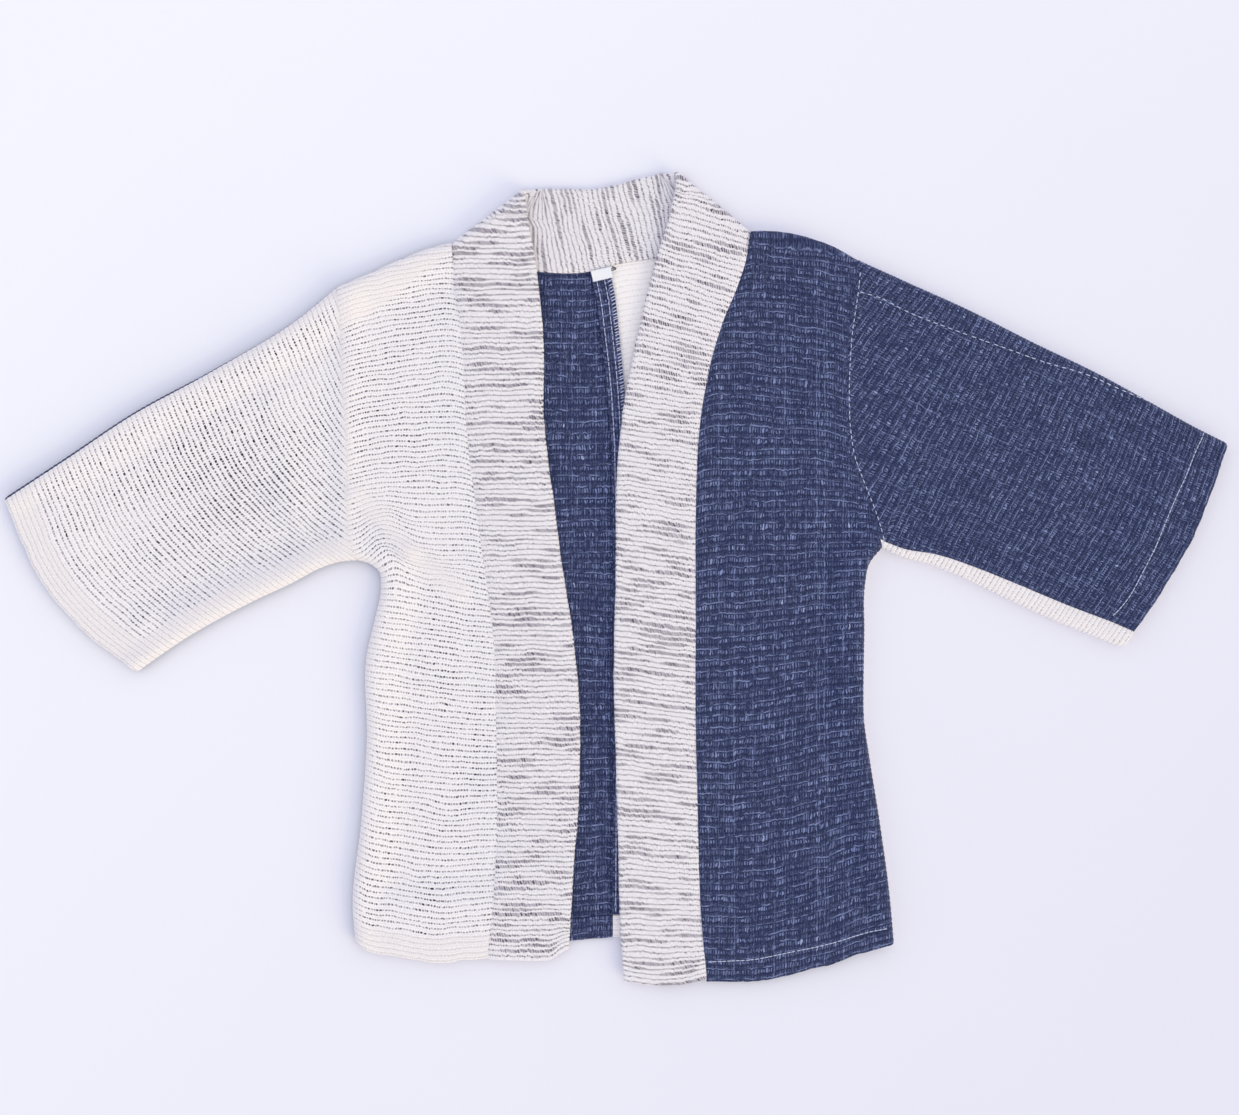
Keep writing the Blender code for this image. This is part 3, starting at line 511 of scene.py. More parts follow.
# The furrow nearest to a place, which wavers as handwoven rows do, and is wider where the weave is loose
tremble = add(tree, "TexNoise", woven, 0.5, 2.0, noise_dimensions="2D")
high = add(tree, "MULTIPLY_ADD", tremble, 0.3, v)
high = add(tree, "SUBTRACT", high, 0.15)
row, _, off = to_nearest(tree, high)
reach = add(tree, "MapRange", backing, -1.0, 0.0, 0.27, 0.2)
furrow = add(tree, "MapRange", off, reach, 0.1, interpolation_type="SMOOTHSTEP")
# Dots along it, where the dark layer below shows: stronger in some areas, and hardly any where it is backed
shift = add(tree, "TexWhiteNoise", row, noise_dimensions="1D")
step = add(tree, "MULTIPLY_ADD", u, 1 / DOT_PITCH, shift)
uneven = add(tree, "TexNoise", woven, 0.3, 2.0, noise_dimensions="2D")
step = add(tree, "MULTIPLY_ADD", uneven, 2.0, step)
_, dot, chance = side_by_side(tree, step, row, 0.37, 0.16)
depth = add(tree, "MapRange", chance, 0.0, 1.0, 0.45, 1.1)
areas = add(tree, "TexNoise", woven, 0.045, 2.0, noise_dimensions="2D")
dense = add(tree, "MapRange", areas, 0.35, 0.65, 0.8, 1.15, clamp=False)
shown = add(tree, "MapRange", backing, -1.0, 1.0, 1.65, 0.14)
dark = add(tree, "MULTIPLY", furrow, dot)
for factor in (depth, dense):
    dark = add(tree, "MULTIPLY", dark, factor)
dark = add(tree, "MULTIPLY", dark, shown, use_clamp=True)
# Painted shade in the furrow itself, and a faint dark line along the middle of each cord, which the weave
# has; both are eased on the inside of the cloth, which backing past 1 stands for, so that the inside is
# painted lighter against the shade it lies in
inside = add(tree, "SUBTRACT", backing, 1.0, use_clamp=True)
seam_line = add(tree, "MapRange", off, 0.42, 0.5, 0.0, 0.3)
furrow_shade_and_midline = add(tree, "MULTIPLY_ADD", furrow, 0.22, seam_line)
shade_eased_inside = add(tree, "MapRange", inside, 0.0, 1.0, 1.0, 0.35)
furrow_shade_and_midline = add(tree, "MULTIPLY", furrow_shade_and_midline, shade_eased_inside)
grain, face = fibrous(tree, woven, 1.9, "#EBE5EC", "#FFFCFF")
warm = add(tree, "Mix", grain, colour("#E9E3E6"), colour("#FBF6F9"), data_type="RGBA")
face = add(tree, "Mix", backing, face, warm, data_type="RGBA")
# First the inside's paler cream, which is painted light, then the painted furrow shade with the mid-line,
# then the dots
for amount, over in ((inside, "#FFF9FA"), (furrow_shade_and_midline, "#BBABB7"), (dark, "#322139")):
    face = add(tree, "Mix", amount, face, colour(over), data_type="RGBA")
dress(shader, face, add(tree, "SUBTRACT", grain, dark), 0.5, 0.00025)

# Handwoven navy cotton: dark cords with a comb of paler warp threads on every second one, a thin pale row
# beside it, and here and there a pale warp thread that runs on. Comb threads are 1.7 mm apart.
COMB_PITCH = 1.7
navy, tree, shader, woven, u, v = cotton("handwoven_navy_corded_cotton", 0.9, 0.12)
# The pair of cords nearest to a place, which wavers too
uneven = add(tree, "TexNoise", woven, 0.11, 2.0, noise_dimensions="2D")
tremble = add(tree, "TexNoise", woven, 0.6, 3.0, noise_dimensions="2D")
half_v = add(tree, "MULTIPLY_ADD", tremble, 0.5, v)
half_v = add(tree, "MULTIPLY_ADD", uneven, 0.6, half_v)
half_v = add(tree, "MULTIPLY", half_v, 0.5)
pair, past, off = to_nearest(tree, half_v)
# The comb in its middle: teeth of different height and strength, stronger in patches
step = add(tree, "MULTIPLY_ADD", u, 1 / COMB_PITCH, uneven)
step = add(tree, "MULTIPLY_ADD", tremble, 1.6, step)
cell, tooth, chance = side_by_side(tree, step, pair, 0.34, 0.14)
other = add(tree, "SeparateXYZ", chance.node.outputs["Color"], out=1)
tall = add(tree, "MapRange", other, 0.0, 1.0, 0.11, 0.25)
comb = add(tree, "DIVIDE", off, tall)
comb = add(tree, "MapRange", comb, 1.2, 0.7, interpolation_type="SMOOTHSTEP")
areas = add(tree, "TexNoise", woven, 0.14, 4.0, noise_dimensions="2D")
patchy = add(tree, "MapRange", areas, 0.36, 0.64, 0.4, 1.0)
for factor in (tooth, add(tree, "MapRange", chance, 0.0, 1.0, 0.25, 1.15), patchy):
    comb = add(tree, "MULTIPLY", comb, factor)
# The thin pale row beside it, a third of a pair further on, strong and weak along its run
line = add(tree, "SUBTRACT", past, 0.33)
line = add(tree, "ABSOLUTE", line)
line = add(tree, "MapRange", line, 0.085, 0.02, interpolation_type="SMOOTHSTEP")
long = add(tree, "CombineXYZ", add(tree, "MULTIPLY", u, 0.09), half_v)
strong = add(tree, "TexNoise", long, 1.7, 3.0, noise_dimensions="2D")
strong = add(tree, "MapRange", strong, 0.4, 0.66, 0.04, 0.9)
line = add(tree, "MULTIPLY", line, strong)
# Every third warp thread or so, which runs on across the cords, and the threads between two pairs
warp = add(tree, "TexWhiteNoise", cell, noise_dimensions="1D")
warp = add(tree, "MapRange", warp, 0.66, 1.0)
broken = add(tree, "MapRange", tremble, 0.42, 0.6, 0.05, 0.9)
between = add(tree, "MapRange", off, 0.32, 0.42)
for factor in (tooth, broken):
    warp = add(tree, "MULTIPLY", warp, factor)
for factor in (tooth, other):
    between = add(tree, "MULTIPLY", between, factor)
pale = add(tree, "MAXIMUM", comb, line)
pale = add(tree, "MULTIPLY_ADD", between, 0.35, pale)
pale = add(tree, "MULTIPLY_ADD", warp, 0.45, pale, use_clamp=True)
fleck = add(tree, "MapRange", chance, 0.985, 1.0, 0.0, 0.7)
fleck = add(tree, "MULTIPLY", fleck, comb)
grain, face = fibrous(tree, woven, 1.7, "#171D3B", "#363F68")
for amount, over in ((pale, "#828EBC"), (fleck, "#B4BEE0")):
    face = add(tree, "Mix", amount, face, colour(over), data_type="RGBA")
dress(shader, face, add(tree, "MULTIPLY_ADD", pale, 0.7, grain), 0.5, 0.0003)

BACKS = {"right": (navy, "navy_cotton", (0.178, 0.460)), "left": (cream, "cream_cotton", (0.178, 0.468))}
for side, (cloth, slot, flat) in BACKS.items():
    hand = HAND[side]
    inner = shifted(CENTRE_BACK_LINE, -hand * SEAM_GAP / 2)
    hem = BACK_HEM_LINE if side == "left" else BACK_HEM_LINE[::-1]
    hem = np.concatenate([[inner[0]], hem[(hem[:, 0] - inner[0, 0]) * hand > 0], LINES[side]["side"][:1]])
    neck = NECK_SEAM_LINE if side == "left" else NECK_SEAM_LINE[::-1]
    neck = neck[(neck[:, 0] - inner[-1, 0]) * hand > 0][:-2]
    crown = np.concatenate([[inner[-1]], neck, shifted(LINES[side]["shoulder"], hand * CLOTH / 2)[::-1]])
    levels = armhole_line(side, True)[0, 1], 0.0
    plan, weave = body_plan(side, inner, hem, crown, BODY_COLUMN["back"], levels)
    backing = np.full(plan.shape[:2], INSIDE)
    middle, normal, weave, backing = turn_up(*lay(plan, side), weave, backing, BODY_HEM)
    half = corded(weave, pressed=0.5)
    back = add_shell(f"cloth_back_{side}", cloth, middle, normal, half, weave, backing)
    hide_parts(f"back_{side}_panel")

# Sleeve backs.
# The back half of each sleeve: navy on the wearer's right, where a thin edge of it wraps over the top, and
# cream on the left, where it comes round the lower edge onto the front. Their cords run parallel to the cuff.
# What wraps over lies as high as the top layer, whose height is worked out here for all the fronts.

SLEEVE_COLUMN = {"back": 4.2, "front": 3.3}
ARMHOLE_SHARE = {"right": 95.8, "left": 98.0}  # of the overarm, whose cords end at the armhole
CUFF_ZONE = 32.0  # cords this near to the cuff keep their distance along both edges
OVER_START = 0.5  # the first cord's distance from the armhole's top
SPANS = 199  # in which a curve like the cuff's is read
UNDER_EASE = 6  # over how much cloth the wrap begins before the armpit
SLEEVE_WAVES = ((0.6, 21, 7), (0.4, 8, 8))  # of the cords
# How far the sleeve's back wraps over its edge onto the top, as (share of the way to the cuff, width)
OVERARM_WRAP = {"right": ((0.0, 0.2), (0.3, 0.4), (0.5, 1.1), (1.0, 1.4)), "left": ((0.0, 0.0), (1.0, 0.0))}
UNDERARM_WRAP = {"right": ((0.0, 0.0), (1.0, 0.0)),
                 "left": ((0.0, 3.6), (0.25, 7.5), (0.55, 11.0), (0.9, 12.5), (1.0, 12.0))}
WRAP_COLUMN = 2.5
LEAST_WRAP = 0.05
SLEEVE_BACKING = 0.75  # the front lies on it


def sleeve_frame(side, pitch):
    """A sleeve's rows along its cords, from the armhole's top to the cuff: a function that gives points seen
    from above at places along the rows, the rows' lengths and cord counts, and how far both edges wrap over.
    On the right the rows above the armpit keep the curve of the cuff and stop where they meet the armhole,
    and on the left they bend more like the cuff the nearer they are to it."""
    hand = HAND[side]
    armhole = armhole_line(side, False)
    over = np.concatenate([armhole[-1:], shifted(LINES[side]["overarm"], -hand * CLOTH / 2)[2:]])
    under = np.concatenate([armhole[::-1], shifted(LINES[side]["underarm"], hand * CLOTH / 2)[2:]])
    over_end, under_end, pit = along(over)[-1], along(under)[-1], along(armhole)[-1]
    seed = 13 if side == "right" else 14
    to_cuff, cords = cord_rows(over_end - HEM_INSET - OVER_START, seed, pitch)
    over_at = OVER_START + to_cuff
    under_at = np.interp(over_at, [0, ARMHOLE_SHARE[side], over_end - CUFF_ZONE, over_end],
                         [0, pit, under_end - CUFF_ZONE, under_end])
    high = at(over, over_at)
    way = np.linspace(0, 1, SPANS + 1)
    cuff = LINES[side]["cuff"]
    curve = at(cuff, way * along(cuff)[-1]) - cuff[0] - (cuff[-1] - cuff[0]) * way[:, None]
    past_pit = (over_at - ARMHOLE_SHARE[side]) / (over_end - ARMHOLE_SHARE[side])
    used = np.ones(len(over_at))
    if side == "right":
        at_pit = at(over, ARMHOLE_SHARE[side]) - armhole[0]
        longer = np.linalg.norm(at_pit) / np.linalg.norm(cuff[-1] - cuff[0])
        like_cuff = longer + (1 - longer) * np.clip(past_pit, 0, 1)
        run = high[:, None] + at_pit * (way[:, None] - 1) + curve * longer
        inside = np.interp(run[..., 1], armhole[:, 1], armhole[:, 0]) - run[..., 0]
        last = np.where(inside <= 0, np.arange(SPANS + 1), 0).max(axis=1)
        pick = np.arange(len(over_at)), np.minimum(last, SPANS - 1)
        following = pick[0], pick[1] + 1
        part = np.clip(-inside[pick] / (inside[following] - inside[pick]), 0, 1)
        start = run[pick] + (run[following] - run[pick]) * part[:, None]
        short = past_pit < 0
        used[short] = 1 - (way[pick[1]] + part / SPANS)[short]
        under_at[short] = np.interp(-start[short, 1], -armhole[::-1, 1], along(armhole[::-1]))
    else:
        like_cuff = ease(past_pit)
    low = at(under, under_at)
    row = np.linalg.norm(high - low, axis=1)[:, None]
    past_pit_below = np.clip((under_at - pit) / (under_end - pit), 0, 1)
    under_wrap = np.interp(past_pit_below, *zip(*UNDERARM_WRAP[side]))
    under_wrap = under_wrap * ease((under_at - pit) / UNDER_EASE + 1)
    over_wrap = np.interp(over_at / over_end, *zip(*OVERARM_WRAP[side]))

    def plan_of(place):
        """Points at places along the rows: on the straight between a row's ends, and bent like the cuff."""
        share = place / row
        ahead = at(curve, 1 - (1 - share) * used[:, None], way)
        bend = ahead - (1 - share)[..., None] * at(curve, 1 - used, way)[:, None]
        plan = low[:, None] + (high - low)[:, None] * share[..., None] + bend * like_cuff[:, None, None]
        turn = well_inside(share, cords, first=6, last=4) * wander(plan, *SLEEVE_WAVES)
        return plan + turn[..., None] * unit(over[-1] - over[0])

    return plan_of, row, cords[:, None], under_wrap[:, None], over_wrap[:, None]


def across_sleeve(row, column):
    """Places across a sleeve's rows from one rolled edge to the other: how far round they are on the cloth,
    and how far along the row seen from above."""
    whole = row + 2 * ROLL_SPARE
    spread = np.linspace(0, 1, round(whole.max() / column))
    reach = whole * spread
    return reach, np.where(spread < 0.5, from_edge(reach), row - from_edge(whole - reach))


def round_edge(depth):
    """How far round from the outermost line cloth lies that is this far inside it: from_edge inverted."""
    turned = ROLL * np.arccos(1 - np.clip(depth, 0, ROLL) / ROLL)
    return np.where(depth < ROLL, turned, depth - ROLL + ROLL * np.pi / 2)


FRONT_MID = 2.55  # where the front lies on the back
EDGE_TOP = BACK_MID + 2 * ROLL
PUFF = 24.0  # from the rolled edge to where the front has sunk onto the back
HEM_LIFT = 3.8  # over a turned-up hem, reaching and then falling over these widths
HEM_REACH = 8.0
HEM_FALL = 26.0
DROOP = 0.06  # the fall of a front's hem for each millimetre that it reaches past the back's
BAND_RISE = {"right": 1.0, "left": 1.7}  # beside the neckband
BAND_RISE_WIDTH = 12.0
PUCKERS = (0.7, 7.0)  # height and width of the small puckers there
PUCKER_WAVE = (0.5, 3.6, 21)
PUCKER_STRETCH = (0.45, 1)
SLOW, SLOW_WAVE = 0.7, (0.5, 34, 22)  # unevenness of the whole layer
QUICK, QUICK_WAVE = 0.25, (0.5, 12, 23)
# Soft folds of the top layer, as (x and y of one end, x and y of the other, half width, height)
FOLDS = (
    (-166, 54, -132, 17, 6, 2.6),
    (-132, 17, -100, -8, 7, 2.2),
    (-158, -60, -84, -78, 10, 1.0),
    (-173, 30, -170, 182, 8, 2.9),
    (-226, 150, -203, 30, 9, 1.0),
    (-174, 16, -216, 48, 7, 1.3),
    (-196, 8, -300, -28, 9, 1.2),
    (-210, 120, -330, 58, 12, 1.0),
    (150, 60, 154, 190, 7, 1.0),
    (160, 4, 66, -12, 9, 1.5),
    (158, -110, 66, -128, 10, 1.1),
    (172, 40, 236, 60, 10, 1.6),
    (190, 26, 300, -8, 9, 1.1),
    (200, 150, 320, 96, 12, 1.0),
)
MAP_STEP = 2.5
MAP_REACH = (400, 275)


def far_from(points, line):
    """The distance of each point from a line."""
    return nearest(points, np.array(line, float), np.zeros((len(line), 2)) + (1.0, 0.0))[0]


def front_height(points):
    """The height of the middle of the top layer: high at the rolled edges, on the back between them, and
    lifted over the hems, beside the neckband and along the folds. A slow unevenness and small puckers at the
    neckband's seam lie on top of it."""
    names = ("side", "shoulder", "underarm", "overarm")
    rolled = np.min([far_from(points, LINES[s][n]) for s in LINES for n in names], axis=0)
    puff = 0.5 + 0.5 * np.cos(np.pi * np.clip((rolled - ROLL - CLOTH) / PUFF, 0, 1))
    height = FRONT_MID + (EDGE_TOP - FRONT_MID) * puff
    hem_y = np.interp(points[..., 0], BACK_HEM_LINE[:, 0], BACK_HEM_LINE[:, 1])
    hem = 1 - ease((points[..., 1] - hem_y - BODY_HEM - HEM_REACH) / HEM_FALL)
    cuff = np.min([far_from(points, LINES[s]["cuff"]) for s in LINES], axis=0)
    lift = HEM_LIFT * np.maximum(hem, 1 - ease((cuff - SLEEVE_HEM - HEM_REACH) / HEM_FALL))
    height = np.maximum(height, FRONT_MID + lift - DROOP * np.maximum(hem_y - points[..., 1], 0))
    for side, rise in BAND_RISE.items():
        near = far_from(points, LINES[side]["band_seam"])
        height = height + rise * np.exp(-((near / BAND_RISE_WIDTH) ** 2)) * (1 - hem) * (1 - puff)
        pucker = 0.5 + wander(points * PUCKER_STRETCH, PUCKER_WAVE)
        height = height + PUCKERS[0] * pucker * np.exp(-((near / PUCKERS[1]) ** 2)) * (1 - hem)
    for x0, y0, x1, y1, width, rise in FOLDS:
        fold = far_from(points, ((x0, y0), (x1, y1)))
        height = height + rise * np.exp(-((fold / width) ** 2)) * (1 - hem)
    slow, quick = SLOW * (0.5 + wander(points, SLOW_WAVE)), QUICK * (0.5 + wander(points, QUICK_WAVE))
    return height + slow * (1 - hem) + quick


map_x, map_y = (np.arange(-reach, reach + 1, MAP_STEP) for reach in MAP_REACH)
height_map = front_height(np.stack(np.meshgrid(map_x, map_y, indexing="ij"), axis=-1))
slope_map = np.stack(np.gradient(height_map, MAP_STEP), axis=-1)


def look_up(values, points):
    """Values of a map at points seen from above, mixed from the four nearest places of its lattice."""
    place = (points - (map_x[0], map_y[0])) / MAP_STEP
    cell = np.clip(np.floor(place).astype(int), 0, (len(map_x) - 2, len(map_y) - 2))
    return mixed(values, cell, place - cell)


SLEEVE_BACKS = {"right": (navy, "navy_cotton", (0.236, 0.180), 3.5),
                "left": (cream, "cream_cotton", (0.262, 0.185), 3.0)}
for side, (cloth, slot, flat, pitch) in SLEEVE_BACKS.items():
    plan_of, row, cords, under_wrap, over_wrap = sleeve_frame(side, pitch)
    reach, place = across_sleeve(row, SLEEVE_COLUMN["back"])
    parts = [(*lay(plan_of(place), side), reach)]
    for wrap, first in ((under_wrap, True), (over_wrap, False)):
        if wrap.max() > 0:
            count = max(3, round(wrap.max() / WRAP_COLUMN) + 2)
            round_it = np.maximum(round_edge(wrap), LEAST_WRAP) * np.linspace(0, 1, count + 1)[1:]
            over_top = from_edge(round_it)
            wrapped = plan_of(over_top if first else row - over_top)
            over = wrap > LEAST_WRAP
            height = np.where(over, look_up(height_map, wrapped), BACK_MID)
            done = (*lay(wrapped, side, height, look_up(slope_map, wrapped) * over[..., None]), round_it)
            if first:
                parts.insert(0, (done[0][:, ::-1], done[1][:, ::-1], -done[2][:, ::-1]))
            else:
                parts.append((done[0], done[1], row + 2 * ROLL_SPARE + done[2]))
    middle, normal, reach = (np.concatenate(part, axis=1)[::-1] for part in zip(*parts))
    count = cords[::-1] - cords[-1]
    weave = np.stack([reach - row[::-1], -count + 0 * reach], axis=-1)
    backing = np.full(reach.shape, SLEEVE_BACKING)
    middle, normal, weave, backing = turn_up(middle, normal, weave, backing, SLEEVE_HEM, pitch)
    half = corded(weave, pressed=0.5)
    back = add_shell(f"cloth_sleeve_{side}_back", cloth, middle, normal, half, weave, backing)
    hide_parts(f"sleeve_{side}_back")

# Centre back seam.
# The seam allowance of the two backs, navy, pressed over the left back and held by two rows of topstitching,
# with an overlocked edge in pale thread.

ALLOWANCE = ((0.0, 12.0), (0.3, 9.5), (1.0, 9.5))  # (share of the seam from the neck, width)
ALLOWANCE_START = -0.4  # it begins just past the seam
ALLOWANCE_ENDS = (1.2, 2.5)  # it stays this far from the neck and from the turned-up hem
ALLOWANCE_MID = 2.55
STITCH_SIDES = 6
STITCH_RINGS = ((0.0, 0.35), (0.18, 0.9), (0.5, 1.0), (0.82, 0.9), (1.0, 0.35))  # shares of length and radius
STITCH_CAPS = ((0, 5, 2, 1), (5, 4, 3, 2), (24, 25, 26, 29), (29, 26, 27, 28))  # corners of its two ends
STITCH_JITTER = 0.12  # stitches are this share of their pitch off their places
TOPSTITCH_AT = (0.22, 0.62)  # shares of the allowance's width
TOPSTITCH_LIFT = 0.05  # of its line over the allowance's face
OVERLOCK_PITCH = 2.0
OVERLOCK_JITTER = 0.4
OVERLOCK_STOP = 3  # it ends this far before the allowance does
OVERLOCK_IN = 2.8  # how far its stitches reach in from the edge
OVERLOCK_OUT = 0.9  # and past it
OVERLOCK_SLANT = 0.6
OVERLOCK_LEVEL = (-0.5, 0.12)  # of their outer and inner ends, from the allowance's face


def sewn(name, material, starts, ends, radius, sag=0.0):
    """Stitches as one mesh: each is a tube of six sides from its start to its end, closed with a blunt tip,
    and raised at its middle. A ring's corners lie on a circle across the stitch."""
    share, wide = np.transpose(STITCH_RINGS)
    go = ends - starts
    side = unit(np.cross(go, (0.0, 0.0, 1.0)))
    up = unit(np.cross(side, go))
    ring = np.arange(STITCH_SIDES)
    turn = ring * np.pi / 3
    middle = starts[:, None] + go[:, None] * share[:, None]
    middle[..., 2] += sag * (4 * share * (1 - share))
    circle = side[:, None] * np.cos(turn)[:, None] + up[:, None] * np.sin(turn)[:, None]
    points = middle[:, :, None] + circle[:, None] * (wide * radius)[:, None, None]
    after = (ring + 1) % STITCH_SIDES
    tube = np.stack([ring, after, after + STITCH_SIDES, ring + STITCH_SIDES], axis=1)
    faces = np.concatenate([*(tube + STITCH_SIDES * k for k in range(len(share) - 1)), STITCH_CAPS])
    faces = faces + len(share) * STITCH_SIDES * np.arange(len(starts))[:, None, None]
    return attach(new_object(name, material, points.reshape(-1, 3), faces.reshape(-1, 4)), "root")


def dashes(line, pitch, share, seed):
    """The ends of even stitches along a line in 3D, each covering that share of the pitch."""
    start = np.arange(0.5, along(line)[-1] - pitch, pitch)
    start = start + np.random.default_rng(seed).uniform(-STITCH_JITTER, STITCH_JITTER, len(start)) * pitch
    return at(line, start), at(line, start + share * pitch)


def thread_material(name, pale, deep):
    """Spun sewing thread: matt, with its fibres as an unevenness of about a millimetre."""
    material, tree, shader = new_material(name, {"Roughness": 0.75, "Sheen Weight": 0.2})
    fibre = add(tree, "TexNoise", add(tree, "TexCoord", out=3), 900.0, 2.0)
    dress(shader, add(tree, "Mix", fibre, colour(deep), colour(pale), data_type="RGBA"), fibre, 0.4, 0.0001)
    return material


lavender_thread = thread_material("pale_lavender_sewing_thread", "#DCDDF4", "#A9ADD2")
centre = CENTRE_BACK_LINE[::-1]
stop = along(centre)[-1] - BODY_HEM - ALLOWANCE_ENDS[1]
go, cords = cord_rows(stop - ALLOWANCE_ENDS[0], seed=15)
go = go + ALLOWANCE_ENDS[0]
width = np.interp(go / stop, *zip(*ALLOWANCE))[:, None]
across = ALLOWANCE_START + (width - ALLOWANCE_START) * np.linspace(0, 1, 5)
flat = at(centre, go)[:, None] + at(left_of(centre), go, along(centre))[:, None] * across[..., None]
middle = np.concatenate([flat, np.full((*flat.shape[:2], 1), ALLOWANCE_MID)], axis=-1)
weave = np.stack([across, cords[:, None] + 0 * across], axis=-1)
allowance = add_shell("centre_back_allowance", navy, middle, np.broadcast_to((0.0, 0.0, 1.0), middle.shape),
                      corded(weave), weave, 1.0)
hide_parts("back_seam_allowance")

face = ALLOWANCE_MID + CLOTH / 2
rows_of_stitches = []
for share in TOPSTITCH_AT:
    line = flat[:, 0] + (flat[:, -1] - flat[:, 0]) * share
    line = np.column_stack([line, np.full(len(line), face + TOPSTITCH_LIFT)])
    rows_of_stitches.append(dashes(line, pitch=3.2, share=0.86, seed=16))
starts, ends = (np.concatenate(part) for part in zip(*rows_of_stitches))
topstitch = sewn("centre_back_topstitch", lavender_thread, starts, ends, radius=0.28)
step = np.arange(OVERLOCK_PITCH, stop - OVERLOCK_STOP, OVERLOCK_PITCH)
step = step + np.random.default_rng(18).uniform(-OVERLOCK_JITTER, OVERLOCK_JITTER, len(step))
edge = at(flat[:, -1], step, go)
inward = unit(at(flat[:, 0] - flat[:, -1], step, go))
slant = np.gradient(edge, axis=0) * OVERLOCK_SLANT
outer, inner = (np.full(len(step), face + level) for level in OVERLOCK_LEVEL)
starts = np.column_stack([edge - inward * OVERLOCK_OUT, outer])
ends = np.column_stack([edge + inward * OVERLOCK_IN + slant, inner])
overlock = sewn("centre_back_overlock", lavender_thread, starts, ends, radius=0.34, sag=0.3)

# Front panels.
# Cream on the wearer's right and navy on the left. They lie on the back, swell over the seams at the sides
# and shoulders, lie higher over the turned-up hems, and carry the soft folds that start at the armpits.

LAYER_EDGE = 4  # over which a second layer ends, and over which a hem does
HEM_EDGE = 2
CLOSED_HEM = {"body": 14, "sleeve": 17}
TOPSTITCH = 0.3  # radius of the thread of its stitches
ON_CLOTH = 0.02  # how far their line lies over the cloth's face
CORD_LEVELS = {"right": (9.0, 201.0), "left": (16.0, 213.0)}  # see body_rows
# The second layer at the shoulder, as (distance from the middle, width)
SHOULDER_LAYER = ((105, 5), (113, 8), (141, 18), (175, 24))
FRONTS = {"right": (cream, "cream_cotton", (0.090, 0.474)), "left": (navy, "navy_cotton", (0.125, 0.494))}
HEM_STITCHES = ((58.2, -244.9), (73.6, -244.2), (87, -243.4), (108.8, -239.1), (138.2, -232.7), (160.4, -226),
                (175.1, -222.8))


def lay_top(plan, side):
    """The top layer's middle and outward direction at points seen from above."""
    return lay(plan, side, look_up(height_map, plan), look_up(slope_map, plan))


def closed(plan, side, zones, from_hem, hem):
    """Where a second layer closes the furrows of the top layer: beside the outline's lines, as (name, width),
    and over its hem."""
    beside = [1 - ease((far_from(plan, LINES[side][name]) - width) / LAYER_EDGE) for name, width in zones]
    return np.max([*beside, 1 - ease((from_hem - hem) / HEM_EDGE) + 0 * beside[0]], axis=0)


def sew_on_top(name, line, pitch, share, seed):
    """Stitches on the left side's top layer along a line seen from above."""
    middle, normal = lay_top(line[:, None], "left")
    seen = middle[:, 0] + normal[:, 0] * (CLOTH / 2 + ON_CLOTH)
    return sewn(name, pale_thread, *dashes(seen, pitch, share, seed), TOPSTITCH, 0.1)


pale_thread = thread_material("pale_blue_sewing_thread", "#DDE4F8", "#A9B4DC")
for side, (cloth, slot, flat) in FRONTS.items():
    inner = shifted(LINES[side]["band_seam"], -HAND[side] * SEAM_GAP / 2)
    crown = shifted(LINES[side]["shoulder"], HAND[side] * CLOTH / 2)[::-1]
    inner[-1] = crown[0]
    hem = LINES[side]["hem"][::-1]
    plan, weave = body_plan(side, inner, hem, crown, BODY_COLUMN["front"], CORD_LEVELS[side], crown[::-1])
    middle, normal = lay_top(plan, side)
    at_shoulder = np.interp(np.abs(plan[..., 0]), *zip(*SHOULDER_LAYER))
    zones = (("side", 3), ("armhole", 1), ("shoulder", at_shoulder))
    backing = closed(plan, side, zones, weave[..., 1] * CORD_PITCH, CLOSED_HEM["body"])
    for fold in FOLDS[:2]:
        backing = np.maximum(backing, np.exp(-((far_from(plan, (fold[:2], fold[2:4])) / fold[4]) ** 2)))
    middle, normal, weave, backing = turn_up(middle, normal, weave, backing, BODY_HEM)
    front = add_shell(f"cloth_front_{side}", cloth, middle, normal, corded(weave), weave, backing)
    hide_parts(f"front_{side}_panel")
    on_it = []
    if side == "left":
        line = smooth(HEM_STITCHES, 1.0)
        on_it.append(sew_on_top("front_hem_stitches", line, pitch=3.0, share=0.92, seed=31))

# Sleeve fronts.
# Cream on the wearer's right and navy on the left, with a wide hem turned up at the cuff and a swell along
# both edges. The left one is topstitched beside the armhole, along its upper edge and round the cuff.

